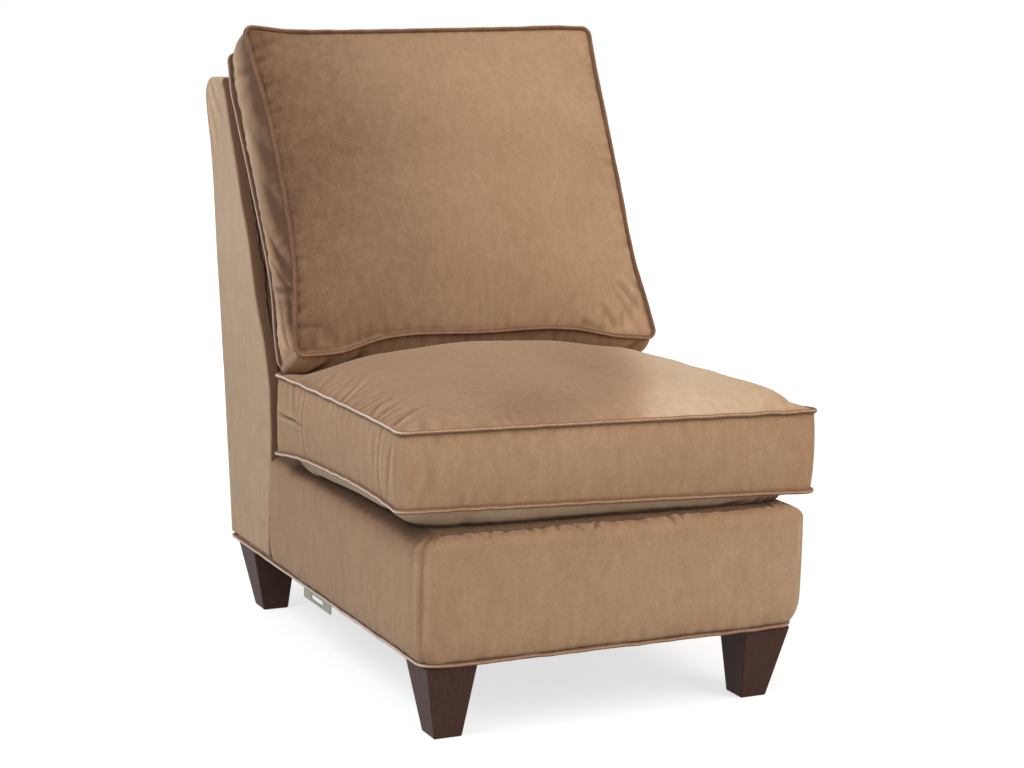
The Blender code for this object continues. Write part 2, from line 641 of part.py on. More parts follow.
class Cushion:
    """The sewn form of a box cushion, in its own frame: x across, y along, z through its thickness.

    The seam lines are drawn in between the corners, the boxing swells between its two seams,
    and each panel rises to a crown.
    """

    def __init__(self, width, length, boxing, crowns, bulge, draw_in, zip_side, zip_band, zip_bulge=None):
        self.half = (width / 2, length / 2)
        self.thick = boxing / 2
        self.crowns = crowns
        self.bulge = bulge
        self.zip_bulge = bulge if zip_bulge is None else zip_bulge
        self.draw_in = draw_in
        self.zip_side = zip_side
        self.zip_band = [height / self.thick for height in zip_band]

    def columns(self):
        """Base point, outward direction and draw-in of each column round the plan."""
        cx, cy = (size - CUSHION_CORNER for size in self.half)
        corners = ((-cx, -cy, 180), (cx, -cy, 270), (cx, cy, 0), (-cx, cy, 90))
        found = []
        front, sides, rear = self.draw_in
        for number, (x, y, start) in enumerate(corners):
            for step in range(CUSHION_CORNER_STEPS + 1):
                angle = math.radians(start + 90 * step / CUSHION_CORNER_STEPS)
                out = Vector((math.cos(angle), math.sin(angle)))
                found.append((Vector((x, y)) + out * CUSHION_CORNER, out, 0.0))
            begin = found[-1]
            next_x, next_y, next_start = corners[(number + 1) % 4]
            finish = Vector((next_x, next_y)) + begin[1] * CUSHION_CORNER
            for step in range(1, CUSHION_SIDE_STEPS):
                along = step / CUSHION_SIDE_STEPS
                pull = (front, sides, rear, sides)[number] * (1 - (2 * along - 1) ** 2)
                found.append((begin[0].lerp(finish, along), begin[1], pull))
        return found

    def ring(self, level, inset):
        """The boxing's outline at a level from -1, the lower seam, to 1, the upper seam."""
        places = []
        for base, out, pull in self.columns():
            toward_zip = max(0.0, out.y * self.zip_side) ** 2
            swell = self.bulge + (self.zip_bulge - self.bulge) * toward_zip
            if toward_zip > 0.99 and level < 0:
                pull = 0.0
            places.append(base + out * (swell * (1 - level * level) - pull * level * level - inset))
        return places

    def outs(self):
        return [out for base, out, pull in self.columns()]

    def rings(self, inset):
        """All rings from the middle of the lower panel to the middle of the upper panel."""
        lower, upper = -self.thick + inset, self.thick - inset
        found = self.panel(-1, lower, inset)[::-1]
        low_level, high_level = self.zip_band
        for level in (-1, low_level, high_level, 1):
            height = max(lower + WELT_SEAT, min(upper - WELT_SEAT, level * self.thick))
            found.append([(x, y, height) for x, y in self.ring(level, inset)])
        found += self.panel(1, upper, inset)
        return found

    def panel(self, way, height, inset):
        """Rings of one panel, from its seam towards its middle, rising to the crown and turning oval."""
        crown = self.crowns[1 if way > 0 else 0]
        seam = [place - out * WELT_SEAT for place, out in zip(self.ring(way, inset), self.outs())]
        found = []
        for number in range(PANEL_RINGS):
            share = number / PANEL_RINGS
            rise = way * crown * (1 - (1 - share) ** CROWN_POWER)
            ring = []
            for place in seam:
                stretch = Vector((place.x / self.half[0], place.y / self.half[1])).normalized()
                oval = Vector((stretch.x * self.half[0], stretch.y * self.half[1]))
                ring.append((*(place.lerp(oval, share) * (1 - share)), height + rise))
            found.append(ring)
        return found

    def mesh(self, name, inset, zip_slot):
        """The closed form at an inset, with the zip's slot left open if asked."""
        rings = self.rings(inset)
        count = len(rings[0])
        points = [place for ring in rings for place in ring]
        crowns = [-self.thick + inset - self.crowns[0], self.thick - inset + self.crowns[1]]
        points += [(0, 0, crowns[0]), (0, 0, crowns[1])]
        slot_row = PANEL_RINGS + 1
        side_start = CUSHION_CORNER_STEPS
        if self.zip_side > 0:
            side_start += 2 * (CUSHION_CORNER_STEPS + CUSHION_SIDE_STEPS)
        slot = range(side_start, side_start + CUSHION_SIDE_STEPS)
        faces = []
        for row in range(len(rings) - 1):
            for column in range(count):
                if zip_slot and row == slot_row and column in slot:
                    continue
                after = (column + 1) % count
                low, high = row * count, (row + 1) * count
                faces.append((low + column, low + after, high + after, high + column))
        last = (len(rings) - 1) * count
        for column in range(count):
            after = (column + 1) % count
            faces.append((len(points) - 2, after, column))
            faces.append((len(points) - 1, last + column, last + after))
        mesh = bpy.data.meshes.new(name)
        mesh.from_pydata(points, [], faces)
        mesh.shade_smooth()
        return mesh

    def zip_frame(self):
        """Middle of the zip's slot, the turn about X that faces it outwards, and its half height."""
        low, high = (Vector((0, self.zip_side * (self.half[1] + self.zip_bulge * (1 - level * level)),
                             level * self.thick)) for level in self.zip_band)
        chord = high - low
        out = Vector((0, self.zip_side * chord.z, -self.zip_side * chord.y)).normalized()
        return (low + high) / 2, math.atan2(-out.y, out.z), chord.length / 2


def cushion_set(prefix, form, panel_names, fill, parent):
    """Cover, fill, two welts and the zip tape of one cushion."""
    cover = add(prefix + "_cover", form.mesh(prefix + "_cover", 0, True), COVER_FABRIC, parent)
    thicken(cover, CUSHION_WALL)
    core = add(prefix + "_core", form.mesh(prefix + "_core", CUSHION_WALL + FILL_EASE, False), fill, parent)
    pieces = [cover, core]
    for level, panel in zip((-1, 1), panel_names):
        path = [(x, y, level * form.thick) for x, y in form.ring(level, 0)]
        pieces.append(tube("%s_%s_welt" % (prefix, panel), path, WELT_RADIUS, WELT_FABRIC, parent))
    return pieces


def zip_set(prefix, form, parent, slider_end, pull_angle):
    """Tape with its chain, slider and pull, in a frame whose Z faces out of the boxing."""
    middle, turn, half_height = form.zip_frame()
    place = empty(prefix + "_zip_frame", parent, middle, turn)
    half = half_height - SOFT_GAP
    run = 2 * (form.half[0] - CUSHION_CORNER - SOFT_GAP)
    floor, face = -TAPE_SINK - TAPE_THICKNESS, -TAPE_SINK
    outline = [(TAPE_TAPER - half, floor), (half - TAPE_TAPER, floor), (half, face), (CHAIN_HALF_WIDTH, face),
               (CHAIN_HALF_WIDTH, CHAIN_RISE), (-CHAIN_HALF_WIDTH, CHAIN_RISE), (-CHAIN_HALF_WIDTH, face),
               (-half, face)]
    pieces = [plate(prefix + "_zip", outline, run, ZIP_TAPE, place, (0, 0, 0), ALONG_X)]

    end = slider_end * (run / 2 - SLIDER_LENGTH)
    base = CHAIN_RISE + GAP
    top = base + SLIDER_THICKNESS
    slider_place = empty(prefix + "_slider_frame", place, (end, 0, 0))
    slider = box(prefix + "_zip_slider", (-SLIDER_LENGTH / 2, -SLIDER_WIDTH / 2, base),
                 (SLIDER_LENGTH / 2, SLIDER_WIDTH / 2, top), ZIP_METAL, slider_place)
    bridge_top = top + BRIDGE_WINDOW + BRIDGE_BAR
    bridge = box(prefix + "_bridge", (-BRIDGE_LENGTH / 2, -BRIDGE_WIDTH / 2, top - BRIDGE_BAR),
                 (BRIDGE_LENGTH / 2, BRIDGE_WIDTH / 2, bridge_top), None, slider_place, cutters)
    window_half = BRIDGE_LENGTH / 2 - BRIDGE_BAR
    window = box(prefix + "_window", (-window_half, -BRIDGE_WIDTH, top),
                 (window_half, BRIDGE_WIDTH, top + BRIDGE_WINDOW), None, slider_place, cutters)
    cut(slider, bridge, "UNION")
    cut(slider, window)

    pivot = empty(prefix + "_pull_pivot", slider_place, (0, 0, top + BRIDGE_WINDOW / 2))
    pivot.rotation_euler.y = pull_angle
    edge = PULL_THICKNESS / 2
    pull = box(prefix + "_zip_pull", (-edge, -PULL_WIDTH / 2, -edge), (edge, PULL_WIDTH / 2, PULL_LENGTH),
               ZIP_METAL, pivot)
    eye = box(prefix + "_pull_eye", (-PULL_WIDTH, -PULL_EYE_WIDTH / 2, edge),
              (PULL_WIDTH, PULL_EYE_WIDTH / 2, edge + PULL_EYE_LENGTH), None, pivot, cutters)
    cut(pull, eye)
    return pieces + [slider, pull]


def world_tree(objects):
    """One search tree over the final surfaces of several objects, and close points along all their edges."""
    points, faces, samples = [], [], []
    for obj in objects:
        mesh = evaluated_mesh(obj)
        start = len(points)
        points += [obj.matrix_world @ vert.co for vert in mesh.vertices]
        faces += [[start + index for index in face.vertices] for face in mesh.polygons]
        for edge in mesh.edges:
            begin, finish = (points[start + index] for index in edge.vertices)
            steps = math.ceil((finish - begin).length / SETTLE_STEP)
            samples += [begin.lerp(finish, step / steps) for step in range(steps + 1)]
        bpy.data.meshes.remove(mesh)
    return BVHTree.FromPolygons(points, faces), samples


def settle(place, falling, standing, way):
    """Move a frame along a direction until what hangs from it rests on what stands below."""
    bpy.context.view_layer.update()
    lower, lower_points = world_tree(standing)
    upper, upper_points = world_tree(falling)
    hits = [lower.ray_cast(point, way)[3] for point in upper_points]
    hits += [upper.ray_cast(point, -way)[3] for point in lower_points]
    drop = min(distance for distance in hits if distance is not None)
    place.location = place.location + way * (drop - SOFT_GAP)


def cushions():
    """The seat cushion on the deck, and the back cushion leaning on the back and resting on the seat."""
    seat_form = Cushion(SEAT_WIDTH, SEAT_DEPTH, SEAT_BOXING, (SEAT_BOTTOM_CROWN, SEAT_TOP_CROWN), SEAT_BULGE,
                        SEAT_DRAW_IN, 1, SEAT_ZIP_BAND)
    seat_height = DECK_HEIGHT + GAP + SEAT_BOTTOM_CROWN + SEAT_BOXING / 2
    seat = empty("seat_cushion", chair, (0, BACK_FRONT - SEAT_TO_BACK - SEAT_DEPTH / 2, seat_height))
    seat_pieces = cushion_set("seat_cushion", seat_form, ("bottom", "top"), FOAM, seat)
    seat_pieces += zip_set("seat", seat_form, seat, 1, -SEAT_PULL_ANGLE)

    back_form = Cushion(BACK_CUSHION_WIDTH, BACK_CUSHION_HEIGHT, BACK_BOXING, (BACK_REAR_CROWN, BACK_FRONT_CROWN),
                        BACK_BULGE, BACK_DRAW_IN, -1, BACK_ZIP_BAND, BACK_BOTTOM_BULGE)
    lean = INSIDE_CROWN + SOFT_GAP + BACK_REAR_CROWN + BACK_BOXING / 2
    foot = Vector((0, BACK_FRONT, SLOPE_START))
    start = foot + OFF_BACK * lean + UP_BACK * (BACK_CUSHION_HEIGHT + SEAT_BOXING)
    back = empty("back_cushion", chair, start, math.pi / 2 - BACK_RAKE)
    back_pieces = cushion_set("back_cushion", back_form, ("rear", "front"), WADDING, back)
    back_pieces += zip_set("back", back_form, back, 1, 0)
    settle(back, back_pieces, seat_pieces, -UP_BACK)


def connectors():
    """Bent steel brackets under the side rails that hook onto the next unit."""
    inner = FRAME_INNER + DUST_CLOTH_LAP + GAP
    outer = FRAME_HALF - CONNECTOR_SETBACK
    top = LEG_HEIGHT
    sheet_bottom = top - CONNECTOR_SHEET
    lip = outer - CONNECTOR_SHEET
    low = top - CONNECTOR_DROP
    outline = [(inner, top), (inner, sheet_bottom), (lip, sheet_bottom), (lip, low), (outer, low), (outer, top)]
    stand_up = Matrix.Rotation(math.pi / 2, 4, "X")
    slot_length, slot_height = CONNECTOR_SLOT
    slot_middle = (low + sheet_bottom) / 2
    for side, name in ((-1, "left_connector"), (1, "right_connector")):
        points = [(side * x, z) for x, z in outline][::side]
        bracket = plate(name, points, CONNECTOR_LENGTH, ZINC_STEEL, chair, (0, CONNECTOR_CENTRE, 0), stand_up)
        near, far = sorted((side * (lip - CONNECTOR_SHEET), side * (outer + CONNECTOR_SHEET)))
        slot = box(name + "_slot", (near, CONNECTOR_CENTRE - slot_length / 2, slot_middle - slot_height / 2),
                   (far, CONNECTOR_CENTRE + slot_length / 2, slot_middle + slot_height / 2), None, chair, cutters)
        cut(bracket, slot)


hardwood_frame()
legs()
springs()
base_upholstery()
back_upholstery()
cushions()
connectors()
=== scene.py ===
import json
import math

import bpy
import numpy as np
from mathutils import Matrix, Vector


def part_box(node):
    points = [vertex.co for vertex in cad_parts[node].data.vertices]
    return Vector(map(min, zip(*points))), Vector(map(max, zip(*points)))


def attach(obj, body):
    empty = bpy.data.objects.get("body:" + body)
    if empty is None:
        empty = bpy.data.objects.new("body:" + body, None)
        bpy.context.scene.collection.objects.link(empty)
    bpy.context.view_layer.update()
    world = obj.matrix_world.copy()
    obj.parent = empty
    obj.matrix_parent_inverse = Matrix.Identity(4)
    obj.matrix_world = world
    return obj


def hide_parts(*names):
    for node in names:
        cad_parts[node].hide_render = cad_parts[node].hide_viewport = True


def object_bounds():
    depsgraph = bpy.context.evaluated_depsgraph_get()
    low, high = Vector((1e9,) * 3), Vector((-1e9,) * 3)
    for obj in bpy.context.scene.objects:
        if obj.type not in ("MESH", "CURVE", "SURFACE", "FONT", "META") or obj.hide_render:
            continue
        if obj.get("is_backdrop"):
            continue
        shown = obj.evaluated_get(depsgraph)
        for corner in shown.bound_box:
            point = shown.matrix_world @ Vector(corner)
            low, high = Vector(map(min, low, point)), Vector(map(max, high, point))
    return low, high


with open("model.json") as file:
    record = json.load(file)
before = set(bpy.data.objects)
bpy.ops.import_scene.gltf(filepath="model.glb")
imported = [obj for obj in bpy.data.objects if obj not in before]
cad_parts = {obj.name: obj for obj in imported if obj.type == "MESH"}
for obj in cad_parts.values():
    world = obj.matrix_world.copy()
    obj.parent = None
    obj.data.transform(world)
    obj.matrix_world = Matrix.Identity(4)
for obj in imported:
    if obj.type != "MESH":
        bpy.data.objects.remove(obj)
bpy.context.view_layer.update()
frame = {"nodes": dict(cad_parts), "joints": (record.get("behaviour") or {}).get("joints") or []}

# Hardwood frame
# Rails, posts and corner blocks of kiln-dried hardwood, sawn square, glued and stapled together.
# The upholstery hides it all, so the wood is left bare and pale.

ACROSS, ALONG, UPRIGHT = 0, 1, 2
FRAME_FIBRE = (0.120, 0.004)
CORNERS = [end + "_" + hand for end in ("front", "rear") for hand in ("left", "right")]
FRAME_WOOD = {
    ACROSS: ["front_rail", "rear_rail", "spring_rail", "back_top_rail",
             *(corner + "_corner_block" for corner in CORNERS)],
    ALONG: ["left_side_rail", "right_side_rail"],
    UPRIGHT: ["left_back_post", "right_back_post"],
}


def linear(code):
    """Linear colour of an sRGB hex code: each channel c is ((c + 0.055) / 1.055) to the power 2.4."""
    channels = [int(code[start:start + 2], 16) / 255 for start in (1, 3, 5)]
    return (*[((c + 0.055) / 1.055) ** 2.4 for c in channels], 1)


def plug(tree, node, inputs):
    """Set a node's inputs: even values stand on their sockets, other nodes' outputs are linked."""
    for socket, value in inputs.items():
        if isinstance(value, bpy.types.NodeSocket):
            tree.links.new(value, node.inputs[socket])
        else:
            node.inputs[socket].default_value = value


def add(tree, kind, inputs, out=0, **settings):
    """One output of a new shader node with its settings and inputs."""
    made = tree.nodes.new("ShaderNode" + kind)
    for setting, value in settings.items():
        setattr(made, setting, value)
    plug(tree, made, inputs)
    return made.outputs[out]


def begin(name):
    """A new material, its node tree and its object coordinates."""
    look = bpy.data.materials.new(name)
    look.use_nodes = True
    return look, look.node_tree, add(look.node_tree, "TexCoord", {}, "Object")


def surfaced(look, sockets):
    """A material whose Principled shader has its sockets set."""
    plug(look.node_tree, look.node_tree.nodes["Principled BSDF"], sockets)
    return look


def wood(name, grain, fibre, pale, dark, sockets):
    """Wood whose fibres run along one axis: fibre gives their length and width in metres."""
    look, tree, place = begin(name)
    scale = [1 / fibre[1]] * 3
    scale[grain] = 1 / fibre[0]
    drawn = add(tree, "Mapping", {"Vector": place, "Scale": scale})
    figure = add(tree, "TexNoise", {"Vector": drawn, "Scale": 1, "Detail": 6, "Roughness": 0.62,
                                    "Distortion": 0.5})
    shade = add(tree, "Mix", {0: figure, 6: linear(dark), 7: linear(pale)}, 2, data_type="RGBA")
    pores = add(tree, "Bump", {"Height": figure, "Strength": 0.25, "Distance": 0.0004})
    return surfaced(look, {**sockets, "Base Color": shade, "Normal": pores})


def dress(names, look):
    """Give the frame's own nodes their material."""
    for name in names:
        frame["nodes"][name].data.materials.clear()
        frame["nodes"][name].data.materials.append(look)


for grain, names in FRAME_WOOD.items():
    # Sawn beech: straw coloured, dull, with fibres about 4 mm apart and a hand long
    dress(names, wood("sawn_beech_%d" % grain, grain, FRAME_FIBRE, "#D9B98C", "#B08A5C", {"Roughness": 0.75}))

# Legs
# Four square tapered legs of the same hardwood, stained espresso and lacquered, bolted up through
# the corner blocks.

LEG_FIBRE = (0.090, 0.003)
# Stained and lacquered beech: near black with a red heart, under a smooth half-gloss coat
LEG_LOOK = {"Roughness": 0.5, "Coat Weight": 0.03, "Coat Roughness": 0.25, "Specular IOR Level": 0.10}
dress([c + "_leg" for c in CORNERS],
      wood("espresso_stained_beech", UPRIGHT, LEG_FIBRE, "#583B31", "#2B1D18", LEG_LOOK))

# Zigzag springs, clips and bolts
# Drawn wire bent in a zigzag, hooked in bent clips that are nailed to the rails. The clips and the
# leg bolts are zinc plated.

SPRINGS = range(1, 5)


def steel(name, bright, dull, cloud):
    """Steel with a cloudy skin: cloud is the size of its patches in metres."""
    look, tree, place = begin(name)
    patches = add(tree, "TexNoise", {"Vector": place, "Scale": 1 / cloud, "Detail": 4, "Roughness": 0.6})
    shade = add(tree, "Mix", {0: patches, 6: linear(dull), 7: linear(bright)}, 2, data_type="RGBA")
    gloss = add(tree, "MapRange", {"Value": patches, 3: 0.32, 4: 0.58})
    return surfaced(look, {"Metallic": 1.0, "Base Color": shade, "Roughness": gloss})


# Drawn wire: grey, oily, with long dull marks from the die
dress(["seat_spring_%d" % n for n in SPRINGS], steel("drawn_spring_wire", "#8E9094", "#5C5E62", 0.020))
# Zinc plate: pale grey with a faint green and yellow cast, clouded
zinc = steel("zinc_plated_steel", "#A3A498", "#73756A", 0.006)
dress(["%s_spring_clip_%d" % (end, n) for end in ("front", "rear") for n in SPRINGS], zinc)
dress([c + "_leg_bolt" for c in CORNERS], zinc)

# Dust cloth
# Black spunbonded cloth, cut round the legs and stapled under the rails. It hangs a little slack
# between them. The support cloth inside the back is the same.

SAG, RIPPLE = 0.004, 0.0006
CLOTH_STEP, CLOTH_WALL = 0.010, 0.0008
LEG_CLEARANCE = 0.001


def limited(values):
    """Values kept between nothing and one."""
    return np.clip(values, 0, 1)


def points_at(*coordinates):
    """Points from their coordinates, each of them an array or one value for all."""
    return np.stack(np.broadcast_arrays(*coordinates), axis=-1)


def grid_faces(rows, columns, wrap_rows=False, wrap_columns=False):
    """Quads of a grid of points: row and column numbers, wrapped round where the surface closes."""
    row, column = np.meshgrid(np.arange(rows - (not wrap_rows)), np.arange(columns - (not wrap_columns)),
                              indexing="ij")
    next_row, next_column = (row + 1) % rows, (column + 1) % columns
    return points_at(row * columns + column, row * columns + next_column,
                     next_row * columns + next_column, next_row * columns + column).reshape(-1, 4)


def piece(name, points, faces, look, body, slot, *stands_for):
    """A smooth mesh of points and faces that rides on a body in place of some CAD nodes."""
    mesh = bpy.data.meshes.new(name)
    mesh.from_pydata(points.reshape(-1, 3).tolist(), [], faces.tolist())
    mesh.shade_smooth()
    mesh.materials.append(look)
    made = bpy.data.objects.new(name, mesh)
    bpy.context.scene.collection.objects.link(made)
    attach(made, body)
    if stands_for:
        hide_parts(*stands_for)
    return made


def line_cloth(made, thickness):
    """Give a surface an even wall on its inner side."""
    wall = made.modifiers.new("wall", "SOLIDIFY")
    wall.thickness = thickness
    wall.offset = -1


def non_woven(name, base, fleck):
    """Spunbonded cloth: dull, with a mat of fibres about 2 mm wide, drawn coarse so that it shows."""
    look, tree, place = begin(name)
    fibres = add(tree, "TexNoise", {"Vector": place, "Scale": 1 / 0.002, "Detail": 3, "Roughness": 0.7})
    shade = add(tree, "Mix", {0: fibres, 6: linear(base), 7: linear(fleck)}, 2, data_type="RGBA")
    mat = add(tree, "Bump", {"Height": fibres, "Strength": 0.4, "Distance": 0.0005})
    return surfaced(look, {"Roughness": 0.92, "Specular IOR Level": 0.2, "Base Color": shade, "Normal": mat})


def steps(*stops, step):
    """Values that run through all the stops, about a step apart."""
    runs = [np.linspace(a, b, max(2, round((b - a) / step) + 1))[:-1] for a, b in zip(stops, stops[1:])]
    return np.concatenate([*runs, stops[-1:]])


black_cloth = non_woven("black_spunbonded_cloth", "#121212", "#262524")
dress(["back_support_cloth"], black_cloth)
cloth_low, cloth_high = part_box("dust_cloth")
leg_low, leg_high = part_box("front_right_leg")
notch_x = leg_low.x - LEG_CLEARANCE
notch_front = leg_high.y + LEG_CLEARANCE
notch_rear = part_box("rear_right_leg")[0].y - LEG_CLEARANCE
cloth_x = steps(cloth_low.x, -notch_x, notch_x, cloth_high.x, step=CLOTH_STEP)
cloth_y = steps(cloth_low.y, notch_front, notch_rear, cloth_high.y, step=CLOTH_STEP)
x, y = np.meshgrid(cloth_x, cloth_y)
middle_y = (cloth_low.y + cloth_high.y) / 2
slack = limited(1 - (x / notch_x) ** 2) * limited(1 - ((y - middle_y) / (cloth_high.y - middle_y)) ** 2)
ripple = np.sin(x / 0.021 + 2 * np.sin(y / 0.09)) * RIPPLE
points = points_at(x, y, cloth_low.z - slack * (SAG + ripple))
faces = grid_faces(*x.shape)[:, ::-1]
centres = points.reshape(-1, 3)[faces].mean(axis=1)
in_leg = (abs(centres[:, 0]) > notch_x) & ((centres[:, 1] < notch_front) | (centres[:, 1] > notch_rear))
dust_cloth = piece("dust_cover", points, faces[~in_leg], black_cloth, "chair_frame", "black_cloth",
                   "dust_cloth")
line_cloth(dust_cloth, CLOTH_WALL)

# Base border
# One strip of brushed suede cloth over thin wadding, wrapped round the front and both sides of the
# base, rolled over its top edge and pleated at the front corners. It is stapled under the rails.

BORDER_SWELL, BORDER_FULL = 0.005, 0.006
FRONT_FULLER, RIGHT_FULLER = 0.5, 1.45
CORNER_ROLL, EDGE_ROLL = 0.030, 0.022
BORDER_LIP, BORDER_STEP = 0.006, 0.005
WADDING_WALL = 0.006
# A painted shadow of the seat cushion's overhang lies in a band under the top edge,
# darker on the left side, where it widens forwards
BAND_DROP, FRONT_BAND, SIDE_BAND, SIDE_WIDENS = 0.012, 0.026, 0.021, 0.010
FRONT_SHADOW, SIDE_SHADOW = 0.45, 1.1
# Painted light: the border is coloured paler from its front left corner round to its right side
RIGHT_PAINTED_LIGHT, BORDER_NAP = 0.14, -0.02
# How much a metre of fold depth darkens the colour: painted shade in the folds, a painted highlight on their
# ridges
FOLD_SHADE = 100


def bell(values, width):
    """A bell curve: e to the power of less the square of the values over the width."""
    return np.exp(-(values / width) ** 2)


def suede(name, pale, middle, dark, bloom):
    """Brushed microfibre suede: a short dense pile, quite matt, with a pale bloom where it is seen edge on.

    Stroking leaves clouds a hand wide and streaks a finger wide where the pile lies another way,
    and the pile itself is a grain of about 2.5 mm, drawn coarse so that it shows. A value stored at each
    point moves the colour between dark, middle and pale: where the pile was brushed or flattened, and
    painted light and shade laid on by the pieces.
    """
    look, tree, place = begin(name)
    leaning = add(tree, "Mapping", {"Vector": place, "Rotation": (0.5, 0.3, 0.7), "Scale": (1, 1, 0.45)})
    cloud = add(tree, "TexNoise", {"Vector": place, "Scale": 1 / 0.11, "Detail": 4, "Roughness": 0.55})
    streak = add(tree, "TexNoise", {"Vector": leaning, "Scale": 1 / 0.014, "Detail": 5, "Roughness": 0.66,
                                    "Distortion": 0.3})
    grain = add(tree, "TexNoise", {"Vector": place, "Scale": 1 / 0.0025, "Detail": 3, "Roughness": 0.7})
    lay = add(tree, "Attribute", {}, "Fac", attribute_name="nap_and_painted_light")
    for pattern, weight in ((cloud, 0.20), (streak, 0.40), (grain, 0.50)):
        lay = add(tree, "Math", {0: pattern, 1: weight, 2: lay}, operation="MULTIPLY_ADD")
    low = add(tree, "MapRange", {"Value": lay, 1: -0.25, 2: 0.55})
    high = add(tree, "MapRange", {"Value": lay, 1: 0.55, 2: 1.35})
    shade = add(tree, "Mix", {0: low, 6: linear(dark), 7: linear(middle)}, 2, data_type="RGBA")
    shade = add(tree, "Mix", {0: high, 6: shade, 7: linear(pale)}, 2, data_type="RGBA")
    pile = add(tree, "Bump", {"Height": grain, "Strength": 0.22, "Distance": 0.0006})
    pile = add(tree, "Bump", {"Height": streak, "Strength": 0.25, "Distance": 0.0012, "Normal": pile})
    return surfaced(look, {"Roughness": 0.92, "Specular IOR Level": 0.15, "Sheen Weight": bloom,
                           "Sheen Roughness": 0.42, "Sheen Tint": linear("#F2E4CF"),
                           "Base Color": shade, "Normal": pile})


def unit(vectors):
    """Vectors of the same direction, of length one."""
    return vectors / np.linalg.norm(vectors, axis=-1, keepdims=True)


def travelled(line):
    """How far along a line of points each of them lies."""
    return np.concatenate([[0], np.cumsum(np.linalg.norm(np.diff(line, axis=0), axis=1))])


def displaced(points, amount):
    """A grid of points moved along its normal: its column direction crossed with its row direction."""
    rows, columns = np.gradient(points, axis=0), np.gradient(points, axis=1)
    return points + unit(np.cross(columns, rows)) * amount[..., None]


def crease(a, b, start, end, depth, width):
    """A fold along the line from start to end: a valley with a Gaussian section, a lower ridge on both sides.

    The fold fades towards its two ends like a half sine.
    """
    run = np.subtract(end, start)
    length = np.hypot(*run)
    along = ((a - start[0]) * run[0] + (b - start[1]) * run[1]) / length ** 2
    across = ((a - start[0]) * run[1] - (b - start[1]) * run[0]) / length / width
    fade = np.sin(math.pi * limited(along)) ** 0.7
    return depth * fade * (0.45 * np.exp(-(abs(across) - 1.9) ** 2 / 1.4) - np.exp(-across ** 2))


def gathers(a, b, seam, inward, count, depth, width, reach, seed):
    """Folds that start at a seam between two points, run inward for about a reach and stand unevenly."""
    draw = np.random.default_rng(seed)
    total = np.zeros(np.broadcast(a, b).shape)
    for share in (np.arange(count) + draw.uniform(-0.35, 0.35, count)) / max(count - 1, 1):
        start = np.add(seam[0], np.subtract(seam[1], seam[0]) * share)
        turn = draw.normal(0, 0.25)
        way = np.array([inward[0] - turn * inward[1], inward[1] + turn * inward[0]])
        end = start + way * reach * draw.uniform(0.5, 1.2)
        total += crease(a, b, start - way * reach * 0.3, end, depth * draw.uniform(0.3, 1),
                        width * draw.uniform(0.7, 1.3))
    return total


def gathered(a, b, *seams):
    """The sum of the gathers at several seams."""
    return sum(gathers(a, b, *seam) for seam in seams)


def undulation(a, b, size, height, seed):
    """Slow unevenness of padded cloth: six plane waves of about a size, in seeded directions."""
    draw = np.random.default_rng(seed)
    total = np.zeros(np.broadcast(a, b).shape)
    for _ in range(6):
        angle, phase = draw.uniform(0, 2 * math.pi, 2)
        wave = 2 * math.pi / (size * draw.uniform(0.7, 1.6))
        total += np.sin((a * math.cos(angle) + b * math.sin(angle)) * wave + phase)
    return total * height / 3


def set_nap_and_painted_light(made, values):
    """Store how pale each point of a mesh is coloured: its brushed pile, and painted light and shade."""
    layer = made.data.attributes.new("nap_and_painted_light", "FLOAT", "POINT")
    layer.data.foreach_set("value", values.astype(np.float32).ravel())


camel = suede("camel_brushed_suede", "#D2BA9C", "#A48365", "#5E4330", 0.22)
border_low, border_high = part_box("front_border")
half_base = border_high.x - BORDER_SWELL
base_front = border_low.y + BORDER_SWELL
side_y = steps(base_front + CORNER_ROLL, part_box("left_border")[1].y, step=BORDER_STEP)[1:]
front_x = steps(-half_base + CORNER_ROLL, half_base - CORNER_ROLL, step=BORDER_STEP)[1:-1]
turn = np.linspace(0, math.pi / 2, 13)
round_left = points_at(-np.cos(turn), -np.sin(turn))
round_right = points_at(np.sin(turn), -np.cos(turn))
outs = np.concatenate([points_at(-1.0, 0 * side_y), round_left, points_at(0 * front_x, -1.0), round_right,
                       points_at(1.0, 0 * side_y)])
plan = np.concatenate([
    points_at(-half_base, side_y[::-1]),
    (CORNER_ROLL - half_base, base_front + CORNER_ROLL) + round_left * CORNER_ROLL,
    points_at(front_x, base_front),
    (half_base - CORNER_ROLL, base_front + CORNER_ROLL) + round_right * CORNER_ROLL,
    points_at(half_base, side_y)])
rise = np.linspace(0, 1, 32)[:-1]
roll = np.linspace(0, math.pi / 2, 12)
side_height = border_high.z - EDGE_ROLL - border_low.z
puff = BORDER_SWELL + BORDER_FULL
inset = np.concatenate([-puff * (1 - (1 - rise) ** 14), EDGE_ROLL - (EDGE_ROLL + puff) * np.cos(roll),
                        EDGE_ROLL + BORDER_LIP * np.array([0.5, 1.0])])
height = np.concatenate([border_low.z + rise * side_height, border_high.z - EDGE_ROLL * (1 - np.sin(roll)),
                         border_high.z - np.array([0.0002, 0.0008])])
fuller = points_at(np.where(outs[:, 0] > 0, RIGHT_FULLER, 1.0), FRONT_FULLER)
ring = plan - outs * fuller * inset[:, None, None]
points = points_at(ring[..., 0], ring[..., 1], height[:, None])
s, h = np.meshgrid(travelled(plan), travelled(points_at(inset, height)))
length, top = s.max(), h.max()
left_corner = len(side_y) * BORDER_STEP + CORNER_ROLL * math.pi / 4
right_corner = length - left_corner
swells = undulation(s, h, 0.12, 0.0008, 3) + undulation(s, h * 0.35, 0.035, 0.0004, 4)
folds = 0 * s
